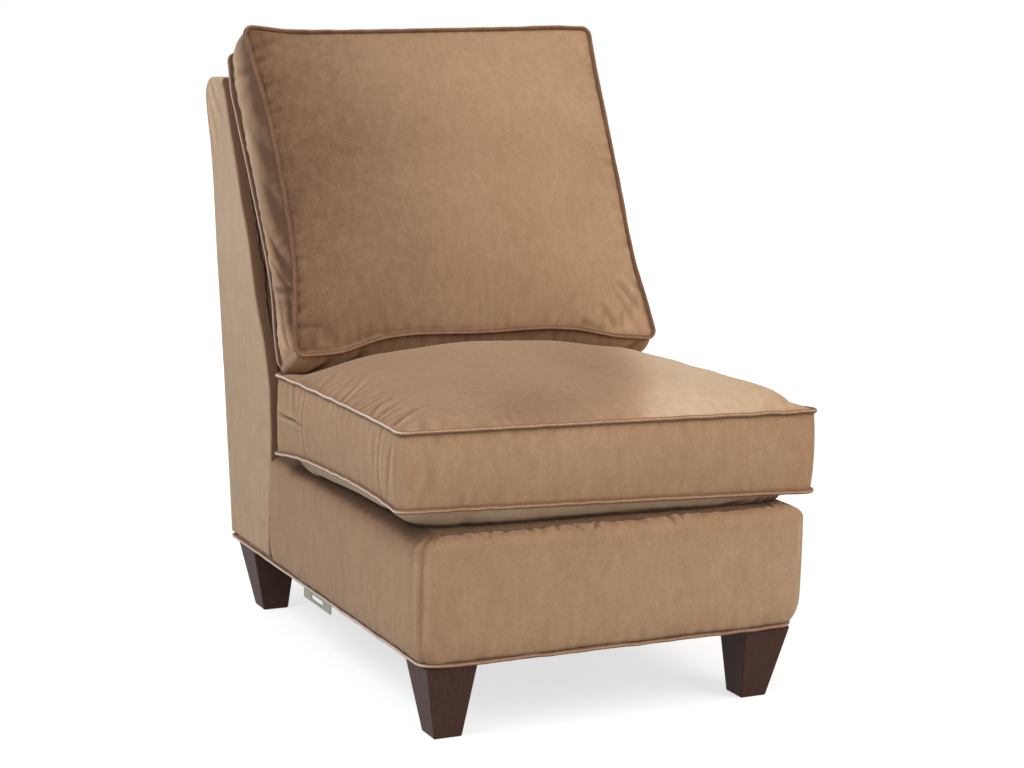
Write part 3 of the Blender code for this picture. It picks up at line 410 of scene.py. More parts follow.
for corner, way in ((left_corner, 1), (right_corner, -1)):
    folds += crease(s, h, (corner - way * 0.006, -0.03), (corner - way * 0.004, top), 0.0030, 0.0034)
    folds += crease(s, h, (corner - way * 0.030, 0.060), (corner - way * 0.016, top), 0.0010, 0.005)
    folds += gathers(s, h, ((corner - 0.04, top), (corner + 0.04, top)), (0, -1), 7, 0.0014, 0.004, 0.035, 5)
folds += gathered(
    s, h,
    (((left_corner + 0.05, top), (length / 2 + 0.10, top)), (0, -1), 15, 0.0030, 0.0045, 0.036, 6),
    (((length / 2 + 0.10, top), (right_corner - 0.06, top)), (0, -1), 8, 0.0014, 0.005, 0.030, 7),
    (((left_corner, 0), (right_corner, 0)), (0, 1), 26, 0.0007, 0.006, 0.030, 8),
    (((0, 0), (left_corner, 0)), (0, 1), 22, 0.0008, 0.006, 0.035, 9))
from_end = np.minimum(s, length - s)
pulled_in = 0.007 * bell(from_end, 0.010) + 0.0016 * bell(from_end, 0.035)
points = displaced(points, swells + folds - pulled_in)
base_border = piece("base_border", points, grid_faces(*s.shape), camel, "chair_frame", "cover_fabric",
                    "front_border", "left_border", "right_border")
# Painted shadow under the seat cushion's overhang, besides the painted shade in the folds
in_band = top - h - BAND_DROP
on_side = limited((left_corner + 0.02 - s) / 0.05)
painted_shadow = SIDE_SHADOW * on_side * bell(in_band, SIDE_BAND + SIDE_WIDENS * s / left_corner)
painted_shadow += FRONT_SHADOW * (1 - on_side) * bell(in_band, FRONT_BAND)
lit_rightward = RIGHT_PAINTED_LIGHT * limited((s - left_corner) / (right_corner - left_corner))
set_nap_and_painted_light(base_border, folds * FOLD_SHADE + lit_rightward - painted_shadow + BORDER_NAP)
line_cloth(base_border, WADDING_WALL)

# Deck
# The border's suede carried on over a layer of wadding on the springs, sewn to the border's lip and
# stapled behind. The seat cushion lies on it.

DECK_EDGE, DECK_ROLL, DECK_SINK = 0.002, 0.004, 0.0006
# Painted shadow along the deck's front edge, under the seat cushion: how dark and how far it reaches
DECK_SHADOW, DECK_SHADOW_REACH = 0.60, 0.035


def crowded(count):
    """Values from minus one to one that crowd towards both ends, as the sines of even angles do."""
    return np.sin(np.linspace(-math.pi / 2, math.pi / 2, count))


deck_low, deck_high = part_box("deck_pad")
u, v = np.meshgrid(crowded(70), crowded(70))
deck_half = (deck_high.x, (deck_high.y - deck_low.y) / 2)
x, y = u * deck_half[0], v * deck_half[1] + (deck_high.y + deck_low.y) / 2
edge = np.minimum(deck_half[0] * (1 - abs(u)), deck_half[1] * (1 - abs(v)))
drop = DECK_EDGE * np.exp(-edge / DECK_ROLL) + DECK_SINK + undulation(x, y, 0.10, 0.0004, 11)
deck = piece("deck", points_at(x, y, deck_high.z - drop), grid_faces(*x.shape), camel, "chair_frame",
             "wadding", "deck_pad")
# Painted shadow: the deck is darker along its front edge
set_nap_and_painted_light(deck, -DECK_SHADOW * bell(y - deck_low.y, DECK_SHADOW_REACH))
line_cloth(deck, deck_high.z - deck_low.z - DECK_EDGE)

# Base welt
# Piping along the bottom edge: a strip of the same suede sewn round a cord, stapled between the
# border and the rails.

WELT_RADIUS, CORD_RADIUS = 0.0042, 0.0036
WELT_SIDES, WELT_POINTS, TURN_POINTS = 14, 900, 9
REAR_TURN = 0.006
WAVER, LUMP = 0.0005, 0.02
# Painted highlight along a piping's crest, and painted shade on its flanks
CREST_HIGHLIGHT, FLANK_SHADE = 0.75, -0.52


def rounded(corners, radii, count):
    """Blocks of points, one for each corner: the corner itself, or an arc tangent to both sides."""
    blocks = []
    for number, radius in enumerate(radii):
        corner = np.array(corners[number], float)
        to_last = unit(np.subtract(corners[number - 1], corner))
        to_next = unit(np.subtract(corners[(number + 1) % len(corners)], corner))
        half = math.acos(np.clip(to_last @ to_next, -1, 1)) / 2
        middle = corner + unit(to_last + to_next) * radius / math.sin(half)
        first, last = (unit(corner + way * radius / math.tan(half) - middle) if radius else to_last
                       for way in (to_last, to_next))
        share = np.linspace(0, 1, count if radius else 1)[:, None]
        blocks.append(middle + unit(first * (1 - share) + last * share) * radius)
    return blocks


def resampled(line, shares):
    """Points at shares of the length of a line of points."""
    reach = travelled(line)
    return points_at(*(np.interp(shares * reach[-1], reach, values) for values in line.T))


def piping(name, line, outs, body, node, crest, left, seed):
    """A tube round a closed line: circles across it, in the outward direction and one square to that.

    The cord wavers along its length, and its radius swells and thins by a few per cent. Its colour has a
    painted highlight along the crest, which stands at an angle to the outward direction, and painted shade
    on both flanks; left adds painted light to the runs that face left, and painted shade where it is
    negative.
    """
    tangent = unit(np.roll(line, -1, axis=0) - np.roll(line, 1, axis=0))
    side = unit(np.cross(tangent, outs))
    outs = np.cross(side, tangent)
    count = len(line)
    turn = np.arange(count) / count * 2 * math.pi
    draw = np.random.default_rng(seed)
    waves = [(k, draw.normal(0, 1 / 3), draw.uniform(0, 6.28)) for k in draw.integers(12, 60, 9)]
    lean = sum(size * np.sin(k * turn + phase) for k, size, phase in waves)
    lump = sum(size * np.cos(2.3 * k * turn + phase) for k, size, phase in waves)
    line = line + side * (lean * WAVER)[:, None]
    thick = CORD_RADIUS * (1 + LUMP * lump)
    angle = np.linspace(0, 2 * math.pi, WELT_SIDES, endpoint=False)[:, None, None]
    points = line + (np.cos(angle) * outs + np.sin(angle) * side) * thick[:, None]
    made = piece(name, points, grid_faces(WELT_SIDES, count, True, True)[:, ::-1], piping_cloth, body,
                 "welt_fabric", node)
    on_crest = limited(np.cos(angle[..., 0] - crest)) ** 8
    set_nap_and_painted_light(made, on_crest * (CREST_HIGHLIGHT + left * limited(-outs[:, 0]) ** 2) + FLANK_SHADE)


# The same suede cut on the bias: stretched over the cord, it looks redder and a little darker.
# Its greyish pale tone is the colour of the painted highlight on the crest
piping_cloth = suede("camel_suede_piping", "#DDD3C7", "#9E7659", "#452B1E", 0.30)
welt_low, welt_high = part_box("base_welt")
welt_x, welt_front = welt_high.x - WELT_RADIUS, welt_low.y + WELT_RADIUS
welt_rear, welt_z = welt_high.y - WELT_RADIUS, (welt_low.z + welt_high.z) / 2
corners = [(-welt_x, welt_front), (welt_x, welt_front), (welt_x, welt_rear), (-welt_x, welt_rear)]
outline = np.concatenate(rounded(corners, [CORNER_ROLL, CORNER_ROLL, REAR_TURN, REAR_TURN], TURN_POINTS))
flat = resampled(np.concatenate([outline, outline[:1]]), np.arange(WELT_POINTS) / WELT_POINTS)
ahead = np.roll(flat, -1, axis=0) - np.roll(flat, 1, axis=0)
outs = unit(points_at(ahead[:, 1], -ahead[:, 0], 0))
# The base piping's crest faces straight out, and its left runs are painted paler, painted light from the left
piping("base_piping", points_at(*flat.T, welt_z), outs, "chair_frame", "base_welt", 0, 0.8, 12)

# Side panels of the back
# Suede over thin wadding, drawn tight round the posts from the seat to the top, gathered round the
# top corner and hand-stitched to the inside and outside backs.

OUTSIDE_RAKE = math.radians(10.2)
SLOPE_START, REAR_SET, REAR_FULL = 0.414, 0.002, 0.006
TOP_ROLL, BACK_KNEE, ARC = 0.030, 0.050, 13
PANEL_EDGE, FRONT_EDGE = 0.005, 0.014
PANEL_DOME, DOME_REACH, PANEL_WALL = 0.0025, 0.03, 0.004
PANEL_PROUD, FOLD_MARGIN = 0.002, 0.012
# Painted light: the panels are coloured paler all over; FRONT_SHADE is painted shade along the front edge,
# beside the cushions
PANEL_PAINTED_LIGHT, PANEL_STROKE, FRONT_SHADE = 0.28, 0.14, 1.4
# Folds that fan out from the rear top corner: how far forward and how far down each one ends
FAN = ((0.075, 0.13), (0.052, 0.17), (0.034, 0.16), (0.10, 0.08), (0.020, 0.14))


def patch(bottom, top, left, right):
    """A Coons patch: the blends of both pairs of border lines added up, less the blend of the corners."""
    v, u = np.linspace(0, 1, len(left))[:, None, None], np.linspace(0, 1, len(bottom))[None, :, None]
    ruled = (1 - v) * bottom[None] + v * top[None] + (1 - u) * left[:, None] + u * right[:, None]
    corner = ((1 - v) * ((1 - u) * bottom[0] + u * bottom[-1]) + v * ((1 - u) * top[0] + u * top[-1]))
    return ruled - corner


def backed(points, behind):
    """A closed slab: a grid, a second grid behind it, and a rim of quads round both."""
    rows, columns = points.shape[:2]
    number = np.arange(rows * columns).reshape(rows, columns)
    loop = np.concatenate([number[0, :-1], number[:-1, -1], number[-1, :0:-1], number[:0:-1, 0]])
    ahead = np.roll(loop, -1)
    front = grid_faces(rows, columns)
    rim = points_at(ahead, loop, loop + number.size, ahead + number.size)
    return np.concatenate([points, behind]), np.concatenate([front, front[:, ::-1] + number.size, rim])


def near_edge(points, outline):
    """Distance of each point of a flat grid from an outline of points."""
    gaps = points.reshape(-1, 1, 2) - outline[None]
    return np.sqrt((gaps ** 2).sum(axis=-1).min(axis=1)).reshape(points.shape[:2])


def rolled(distance, radius):
    """How far a face has turned down at a distance from its edge, round a quarter circle."""
    inside = np.clip(radius - distance, 0, radius)
    return radius - np.sqrt(radius ** 2 - inside ** 2)


def mound(a, b, height, place, size):
    """A bell-shaped rise of a height at a place, with a size along a and one along b."""
    return height * bell(a - place[0], size[0]) * bell(b - place[1], size[1])


def joint_axis(name):
    """The direction of one of the frame's joints."""
    return np.array(next(joint for joint in frame["joints"] if joint["name"] == name)["axis"])


def slope_y(z):
    """Y of the flat line of the inside back at a height."""
    return panel_low.y + lift[1] / lift[2] * (z - SLOPE_START)


def rear_y(z):
    """Y of the outside back at a height."""
    return welt_high.y - REAR_SET + REAR_FULL + math.tan(OUTSIDE_RAKE) * (z - panel_low.z)


lift = joint_axis("back_cushion_lift")
panel_low, panel_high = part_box("left_back_panel")
back_corners = [(panel_low.y, panel_low.z), (rear_y(panel_low.z), panel_low.z),
                (rear_y(panel_high.z), panel_high.z), (slope_y(panel_high.z), panel_high.z),
                (panel_low.y, SLOPE_START)]
blocks = rounded(back_corners, [0, 0, TOP_ROLL, TOP_ROLL, BACK_KNEE], ARC)
across, upward = (1 + crowded(54)) / 2, (1 + crowded(120)) / 2
bottom = resampled(np.concatenate(blocks[:2]), across)
rear = resampled(np.concatenate([blocks[1], blocks[2][:ARC // 2 + 1]]), upward)
crest = resampled(np.concatenate([blocks[2][ARC // 2:], blocks[3][:ARC // 2 + 1]])[::-1], across)
facing = resampled(np.concatenate([blocks[3][ARC // 2:], blocks[4], blocks[0]])[::-1], upward)
flat = patch(bottom, crest, facing, rear)
edge = near_edge(flat, np.concatenate([resampled(side, np.linspace(0, 1, 200))
                                       for side in (bottom, rear, crest, facing)]))
front_gap = near_edge(flat, resampled(facing, np.linspace(0, 1, 300)))
a, b = flat[..., 0], flat[..., 1]
peak_y, peak_z = rear_y(panel_high.z), panel_high.z
for side, name in ((-1, "left"), (1, "right")):
    swells = undulation(a, b, 0.16, 0.0009, 20 + side) + undulation(a, b * 0.3, 0.05, 0.0005, 22 + side)
    folds = 0 * a
    for reach, down in FAN:
        start = (peak_y - reach * 0.12, peak_z + 0.01)
        folds += crease(a, b, start, (peak_y - reach, peak_z - down), 0.0030, 0.006)
    folds += gathered(
        a, b,
        (((panel_low.y, 0.13), (panel_low.y, 0.33)), (1, 0), 8, 0.0012, 0.008, 0.05, 24 + side),
        (((panel_low.y, panel_low.z), (rear_y(0.12), panel_low.z)), (0, 1), 8, 0.0009, 0.006, 0.05, 26))
    outward = -panel_low.x - rolled(edge, PANEL_EDGE) - rolled(front_gap, FRONT_EDGE)
    outward += np.minimum(swells + folds, PANEL_PROUD) * limited(edge / FOLD_MARGIN)
    outward -= PANEL_DOME * np.exp(-edge / DOME_REACH)
    outward += mound(a, b, 0.0055, (peak_y, peak_z - 0.04), (0.07, 0.07))
    points, faces = backed(*(points_at(side * (outward - depth), a, b) for depth in (0, PANEL_WALL)))
    panel = piece(name + "_back_side", points, faces[:, ::side], camel, "chair_frame", "cover_fabric",
                  name + "_back_panel")
    # Painted shade in the folds and along the front edge, and painted light all over
    nap_and_painted_light = folds * FOLD_SHADE + PANEL_PAINTED_LIGHT + PANEL_STROKE * bell(b - 0.68, 0.16)
    nap_and_painted_light -= FRONT_SHADE * np.exp(-(front_gap / FRONT_EDGE) ** 4)
    set_nap_and_painted_light(panel, np.concatenate([nap_and_painted_light, nap_and_painted_light]))

# Inside back
# Suede from the deck up the sloping front of the back, over the rolled top and down behind it. It
# swells between the posts, over a sheet of wadding that is glued to the support cloth, and its ends
# turn in against the side panels.

INSIDE_CROWN, CROWN_FADE = 0.022, 0.20
END_ROLL, TOP_RETURN, INSIDE_STEP = 0.008, 0.010, 0.007
# Painted shade at the ends, where they turn in beside the side panels: how dark, and how far it reaches
END_SHADE, SHADE_REACH = 0.8, 0.03
PAD_BACK, PAD_GAP, PAD_LEAST = 0.0290, 0.0005, 0.0015

inside_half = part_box("inside_back_cover")[1].x
post_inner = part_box("right_back_post")[0].x
profile = np.concatenate([[(panel_low.y, deck_high.z + DECK_SINK)], *(blocks[k][::-1] for k in (4, 3, 2))])
seam_z = profile[-1, 1] - TOP_RETURN
profile = np.concatenate([profile, [(rear_y(seam_z), seam_z)]])
reach = travelled(profile)
knee_end, slope_end = reach[ARC], reach[ARC + 1]
stops = reach[[0, 1, ARC, ARC + 1, 2 * ARC, 2 * ARC + 1, 3 * ARC, 3 * ARC + 1]]
shares = steps(*stops, step=INSIDE_STEP) / reach[-1]
path = resampled(profile, shares)
along = np.gradient(path, axis=0)
normal = unit(points_at(-along[:, 1], along[:, 0]))
x, travel = inside_half * crowded(110), shares * reach[-1]
crown = INSIDE_CROWN * limited(1 - (x / post_inner) ** 2)
share = limited(travel / reach[1]) * limited((slope_end - travel) / CROWN_FADE)
share = share ** 2 * (3 - 2 * share)
a, b = np.meshgrid(x, travel)
folds = undulation(a, b, 0.15, 0.0012, 30) - rolled(inside_half - abs(a), END_ROLL)
lifted = share[:, None] * crown[None] + np.minimum(folds, 0)


def off_back(height):
    """Points of the inside back's grid at a height along its normals."""
    moved = path[:, None] + normal[:, None] * height[..., None]
    return points_at(a, moved[..., 0], moved[..., 1])


inside_back = piece("inside_back", off_back(lifted), grid_faces(*a.shape), camel, "chair_frame",
                    "cover_fabric", "inside_back_cover")
# Painted shade at both ends, from the deck up to the top of the slope
below_roll = limited(1 + (slope_end - b) / SHADE_REACH)
set_nap_and_painted_light(inside_back, -END_SHADE * below_roll * bell(inside_half - abs(a), SHADE_REACH))
line_cloth(inside_back, WADDING_WALL)

on_slope = (travel > knee_end) & (travel < slope_end) & (path[:, 1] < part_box("inside_back_pad")[1].z)
layer = np.ix_(on_slope, abs(x) < inside_half - END_ROLL - WADDING_WALL / 2)
pad_face = lifted - WADDING_WALL - PAD_GAP
pad_rest = np.minimum(crown[None] - PAD_BACK, pad_face - PAD_LEAST)
# Polyester wadding: white, a loose bonded mat
wadding = non_woven("polyester_wadding", "#D8D4C8", "#F0EDE4")
back_wadding = piece("back_wadding", *backed(off_back(pad_face)[layer], off_back(pad_rest)[layer]), wadding,
                     "chair_frame", "wadding", "inside_back_pad")

# Outside back
# A flat panel of suede, tacked over a strip at the top, stapled below and hand-stitched down both
# sides.

BACK_EDGE, BACK_SET = 0.005, 0.001

outer_low, outer_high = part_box("outside_back_panel")
outer_tall = outer_high.z - outer_low.z
a, b = np.meshgrid(-inside_half * crowded(90), outer_low.z + outer_tall * (1 + crowded(100)) / 2)
edge = np.minimum(inside_half - abs(a), np.minimum(b - outer_low.z, outer_high.z - b))
swells = undulation(a, b, 0.20, 0.0012, 40)
foot = ((-inside_half, outer_low.z), (inside_half, outer_low.z))
folds = gathers(a, b, foot, (0, 1), 20, 0.0012, 0.008, 0.06, 41)
for end in (-1, 1):
    upright = ((end * inside_half, outer_low.z), (end * inside_half, outer_high.z))
    folds += gathers(a, b, upright, (-end, 0), 22, 0.0010, 0.007, 0.05, 42 + end)
depth = rear_y(b) - BACK_SET - rolled(edge, BACK_EDGE) + np.minimum(swells + folds, BACK_SET)
outside_back = piece("outside_back", points_at(a, depth, b), grid_faces(*a.shape), camel, "chair_frame",
                     "cover_fabric", "outside_back_panel")
# Painted shade in the folds
set_nap_and_painted_light(outside_back, folds * FOLD_SHADE)
line_cloth(outside_back, WADDING_WALL / 2)

# Sectional connectors
# Two bent steel brackets, zinc plated, screwed under the side rails. A slot in each hanging lip
# takes the hook of the next unit.

SHEET, BEND, SHEET_BEVEL, SHEET_STEP = 0.0018, 0.003, 0.0004, 0.005
SLOT_LONG, SLOT_HIGH = 0.050, 0.008
SCREW_REACH = 0.045
# Radius and height pairs of a pan head with its recess
SCREW_HEAD = [(0.0001, -0.0011), (0.0012, -0.0011), (0.0014, -0.0020), (0.0030, -0.0019), (0.0040, -0.0008),
              (0.0040, 0), (0.0001, 0)]


def turned(profile, place, count=20):
    """A turned shape: radius and height pairs carried round an upright axis through a place."""
    angle = np.linspace(0, 2 * math.pi, count, endpoint=False)[None]
    radius, level = np.array(profile).T[..., None]
    points = points_at(radius * np.cos(angle), radius * np.sin(angle), level) + np.array(place)
    return points, grid_faces(len(profile), count, False, True)


for side, name in ((-1, "left"), (1, "right")):
    low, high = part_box(name + "_connector")
    inner, outer = sorted((abs(low.x), abs(high.x)))
    bend = np.linspace(0, math.pi / 2, 8)
    section = np.concatenate([
        points_at(np.linspace(inner, outer - BEND, 8)[:-1], high.z),
        points_at(outer - BEND + BEND * np.sin(bend), high.z - BEND + BEND * np.cos(bend)),
        points_at(outer, np.linspace(high.z - BEND, low.z, 21)[1:])])
    middle = (low.y + high.y) / 2
    slot_middle = (low.z + high.z - SHEET) / 2
    y = steps(low.y, middle - SLOT_LONG / 2, middle + SLOT_LONG / 2, high.y, step=SHEET_STEP)
    points = points_at(side * section[None, :, 0], y[:, None], section[None, :, 1])
    faces = grid_faces(*points.shape[:2])
    centres = points.reshape(-1, 3)[faces].mean(axis=1)
    off_slot = abs(centres[:, 1:] - (middle, slot_middle))
    in_slot = (off_slot < (SLOT_LONG / 2, SLOT_HIGH / 2)).all(axis=1)
    bracket = piece(name + "_bracket", points, faces[~in_slot][:, ::-side], zinc, "chair_frame", "zinc_steel",
                    name + "_connector")
    line_cloth(bracket, SHEET)
    soft = bracket.modifiers.new("edge", "BEVEL")
    soft.width = SHEET_BEVEL
    soft.segments = 2
    for number, way in ((1, -1), (2, 1)):
        place = (side * (inner + outer) / 2, middle + way * SCREW_REACH, high.z - SHEET)
        piece("%s_bracket_screw_%d" % (name, number), *turned(SCREW_HEAD, place), zinc, "chair_frame",
              "zinc_steel")

# Seat cushion
# A foam block in a suede cover of two panels and a boxing strip, piped along both seams. The zip
# panel wraps round the rear corners and is joined to the boxing by upright seams.

CUSHION_CORNER, CROWN_SQUARE = 0.013, 6
PANEL_CELLS, BOXING_CELLS = (96, 72), 16
FINE_CELLS = [2 * count for count in PANEL_CELLS]
# Light cloth with 1.2% to spare, blown up by a pressure. A cap holds down its movement, and these shares
# of that are added to the sewn form
SIM_FRAMES = 20
CLOTH_SETTINGS = {"quality": 6, "mass": 0.25, "tension_stiffness": 25, "compression_stiffness": 25,
                  "bending_stiffness": 0.6, "use_pressure": True, "uniform_pressure_force": 3.0,
                  "shrink_min": -0.012, "vertex_group_mass": "seams"}
CAP, PANEL_LOOSE, BOXING_LOOSE = 0.022, 0.5, 0.15
CORE_INSET, CORE_CROWNS, CORE_CELLS, CORE_ROWS = 0.012, (0.034, 0.041), (40, 32), 6
# How dark, and how wide, the line beside a seam is coloured: flattened pile and painted shade
SEAM_SHADE, SEAM_CRUSH_AND_SHADE, SEAM_DIP, WELT_LEAN = 0.26, 0.005, 0.0036, 0.0014
# How many of a panel's cells its seam holds down, and how many lie in the flattened pile and painted shade
# beside it
HELD_CELLS, CRUSHED_AND_SHADED_CELLS = 2, 1.3
# Count, depth, width and reach of the fine gathers along a boxing's seams, and where its folds fade out:
# near its seams in metres, and near its corners as a share of the side
BOXING_GATHERS = (24, 0.0010, 0.005, 0.03)
SEAM_FADE, CORNER_FADE = 0.006, 0.02
TEETH_HEIGHT, TAPE_WALL = 0.0016, 0.0014
BED_DEPTH, BED_HALF, BED_SLOPE = -0.0006, 0.0165, 0.004
BED_OVER, BED_END, BED_NEAR = 0.010, 0.008, 0.03
UPRIGHT_SEAM, SLIT_END = 0.128, 0.305
OVERHANG, SEAT_REST = 0.007, 0.0004
# How far a seam is drawn in or lifted at seven stops along one side
LEVEL = (0,) * 7
END_PULL = (0, 0.001, 0.002, 0.003, 0.002, 0.001, 0)
SIDE_PULL = (0, 0.003, 0.005, 0.006, 0.005, 0.003, 0)


def through(shares, stops, values):
    """A smooth line through a few values: cubic pieces with slopes taken from the stops on both sides."""
    stops, values = np.array(stops), np.array(values)
    slopes = np.gradient(values, stops)
    k = np.clip(np.searchsorted(stops, shares, side="right") - 1, 0, len(stops) - 2)
    width = stops[k + 1] - stops[k]
    t = (shares - stops[k]) / width
    return (values[k] * (1 + 2 * t) * (1 - t) ** 2 + slopes[k] * width * t * (1 - t) ** 2
            + values[k + 1] * t ** 2 * (3 - 2 * t) + slopes[k + 1] * width * t ** 2 * (t - 1))


def seam_ring(half, cells):
    """A rounded rectangle as points, outward directions, side numbers and shares along each side.

    Each side runs from the middle of one corner's arc to the middle of the next: front, right,
    rear, left, anticlockwise from above.
    """
    found = []
    eighth = math.pi * CUSHION_CORNER / 4
    for side, e in enumerate(((1, 0), (0, 1), (-1, 0), (0, -1))):
        o = (e[1], -e[0])
        reach, out = half[side % 2], half[1 - side % 2]
        straight = 2 * (reach - CUSHION_CORNER)
        t = np.linspace(0, straight + 2 * eighth, cells[side % 2], endpoint=False) - eighth
        turn = np.clip(t / CUSHION_CORNER, -math.pi / 4, 0)
        turn += np.clip((t - straight) / CUSHION_CORNER, 0, math.pi / 4)
        step = np.clip(t, 0, straight) - reach + CUSHION_CORNER * (1 + np.sin(turn))
        rise = out - CUSHION_CORNER * (1 - np.cos(turn))
        found.append(np.column_stack([np.outer(step, e) + np.outer(rise, o),
                                      np.outer(np.sin(turn), e) + np.outer(np.cos(turn), o),
                                      np.full(len(t), side), limited(t / straight)]))
    ring = np.concatenate(found)
    return ring[:, :2], ring[:, 2:4], ring[:, 4].astype(int), ring[:, 5]


def cushion_grids(form, cells, rows):
    """The lower panel, the boxing and the upper panel of a cushion's sewn form, as three grids of points.

    A seam is the rounded rectangle, shifted at its corners, drawn in and lifted along its sides. The boxing
    bulges between its seams by one less its level squared, and each panel rises to its crown.
    """
    spots, outs, sides, alongs = seam_ring(form["half"], cells)
    seams = []
    for shifts, pulls, lifts in zip(form["shifts"], form["pulls"], form["lifts"]):
        u, v = (spots / form["half"] + 1).T / 2
        shift = np.stack([(1 - u) * (1 - v), u * (1 - v), u * v, (1 - u) * v], axis=1) @ np.array(shifts)
        pull, lift = (np.choose(sides, [through(alongs, form["stops"], values) for values in lines])
                      for lines in (pulls, lifts))
        seams.append((shift + lift[:, None] * (0, 0, 1), pull))
    levels = np.linspace(-1, 1, rows + 1)[:, None, None]
    shift = seams[0][0] * (1 - levels) / 2 + seams[1][0] * (1 + levels) / 2
    pull = np.where(levels[..., 0] < 0, seams[0][1][None], seams[1][1][None])[..., None]
    swell = np.choose(sides, form["bulges"])[None, :, None]
    flat = spots[None] + outs[None] * (swell * (1 - levels ** 2) - pull * levels ** 2)
    boxing = points_at(flat[..., 0], flat[..., 1], levels[..., 0] * form["thick"]) + shift
    across, along = cells
    panels = []
    for way, seam in ((-1, boxing[0]), (1, boxing[-1])):
        loop = np.concatenate([seam, seam[:1]])
        flat = patch(loop[:across + 1], loop[across + along:2 * across + along + 1][::-1],
                     loop[2 * across + along:][::-1], loop[across:across + along + 1])
        u, v = np.linspace(-1, 1, across + 1)[None], np.linspace(-1, 1, along + 1)[:, None]
        near = limited(1 - (abs(u) ** CROWN_SQUARE + abs(v) ** CROWN_SQUARE) ** (1 / CROWN_SQUARE))
        crown, power = form["crowns"][way > 0], form["powers"][way > 0]
        flat[..., 2] += way * crown * (1 - (1 - near) ** power)
        panels.append(flat)
    return panels[0], boxing, panels[1]


def sewn(grids):
    """One closed mesh from three grids, welded at the seams: points, faces and each grid point's number."""
    points = np.concatenate([grid.reshape(-1, 3) for grid in grids])
    lower, boxing, upper = grids
    first, second = lower[..., 0].size, lower[..., 0].size + boxing[..., 0].size
    faces = np.concatenate([grid_faces(*lower.shape[:2])[:, ::-1],
                            grid_faces(*boxing.shape[:2], False, True) + first,
                            grid_faces(*upper.shape[:2]) + second])
    index, number = np.unique(np.round(points, 6), axis=0, return_index=True, return_inverse=True)[1:]
    number = number.ravel()
    return points[index], number[faces], number


def inflated(grids):
    """How far each grid point moves when the sewn cover, its seams held, is blown up as loose cloth."""
    points, faces, number = sewn(grids)
    mesh = bpy.data.meshes.new("cover_cloth")
    mesh.from_pydata(points.tolist(), [], faces.tolist())
    blown = bpy.data.objects.new("cover_cloth", mesh)
    bpy.context.scene.collection.objects.link(blown)
    first, last = grids[0][..., 0].size, grids[0][..., 0].size + grids[1][..., 0].size
    ring = grids[1].shape[1]
    held = np.unique(np.concatenate([number[first:first + ring], number[last - ring:last]]))
    blown.vertex_groups.new(name="seams").add(held.tolist(), 1.0, "REPLACE")
    cloth = blown.modifiers.new("cloth", "CLOTH")
    for setting, value in CLOTH_SETTINGS.items():
        setattr(cloth.settings, setting, value)
    cloth.settings.effector_weights.gravity = 0
    cloth.point_cache.frame_end = SIM_FRAMES
    for number_of_frame in range(1, SIM_FRAMES + 1):
        bpy.context.scene.frame_set(number_of_frame)
    shown = blown.evaluated_get(bpy.context.evaluated_depsgraph_get()).to_mesh()
    after = np.empty(len(points) * 3, np.float32)
    shown.vertices.foreach_get("co", after)
    move = after.reshape(-1, 3) - points
    far = np.linalg.norm(move, axis=1, keepdims=True)
    move *= CAP * np.tanh(far / CAP) / np.maximum(far, 1e-9)
    bpy.data.objects.remove(blown)
    bpy.context.scene.frame_set(1)
    moves = np.split(move[number], [first, last])
    return [part.reshape(grid.shape) for part, grid in zip(moves, grids)]


def refined(values, axis, wraps=False):
    """Twice as fine along one axis: a new value is 9/16 of both neighbours less 1/16 of the next two."""
    values = np.moveaxis(values, axis, 0)
    if wraps:
        padded = np.concatenate([values[-1:], values, values[:2]])
    else:
        padded = np.concatenate([2 * values[:1] - values[1:2], values, 2 * values[-1:] - values[-2:-1]])
    between = (9 * (padded[1:-2] + padded[2:-1]) - padded[:-3] - padded[3:]) / 16
    fine = np.empty((len(values) + len(between), *values.shape[1:]))
    fine[0::2], fine[1::2] = values, between
    return np.moveaxis(fine, 0, axis)


def cushion_cover(form):
    """The finished cover's three grids, twice as fine as the simulated ones."""
    moves = inflated(cushion_grids(form, PANEL_CELLS, BOXING_CELLS))
    lower, upper = (refined(refined(move, 0), 1) * PANEL_LOOSE for move in (moves[0], moves[2]))
    round_move = refined(refined(moves[1], 0), 1, True) * BOXING_LOOSE
    fine = cushion_grids(form, FINE_CELLS, 2 * BOXING_CELLS)
    return [fine[0] + lower, fine[1] + round_move, fine[2] + upper]


def fold_boxing(boxing, form, creases, seed):
    """A boxing's slow unevenness, and its folds: gathers at both seams and each side's creases."""
    sides, alongs = seam_ring(form["half"], FINE_CELLS)[2:]
    level = form["thick"] * np.linspace(-1, 1, len(boxing))[:, None] + 0 * boxing[..., 0]
    swells, folds = np.zeros((2, *level.shape))
    for side in range(4):
        a = boxing[..., side % 2]
        here = (sides == side)[None] * limited(np.minimum(alongs, 1 - alongs) / CORNER_FADE)[None]
        swells += undulation(a, level * 0.4, 0.05, 0.0006, seed + side) * here
        made = 0 * level
        reach = form["half"][side % 2]
        for edge, way, more in ((-form["thick"], 1, 4), (form["thick"], -1, 8)):
            seam = ((-reach, edge), (reach, edge))
            made += gathers(a, level, seam, (0, way), *BOXING_GATHERS, seed + side + more)
        for start, end, depth, width in creases[side]:
            made += crease(a, level, start, end, depth, width)
        folds += made * here
    hold = limited((form["thick"] - abs(level)) / SEAM_FADE)
    return swells * hold, folds * hold


def out_of_boxing(boxing, folds, form):
    """Move a boxing outwards by its folds."""
    outs = seam_ring(form["half"], FINE_CELLS)[1]
    moved = boxing.copy()
    moved[..., :2] += outs[None] * folds[..., None]
    return moved


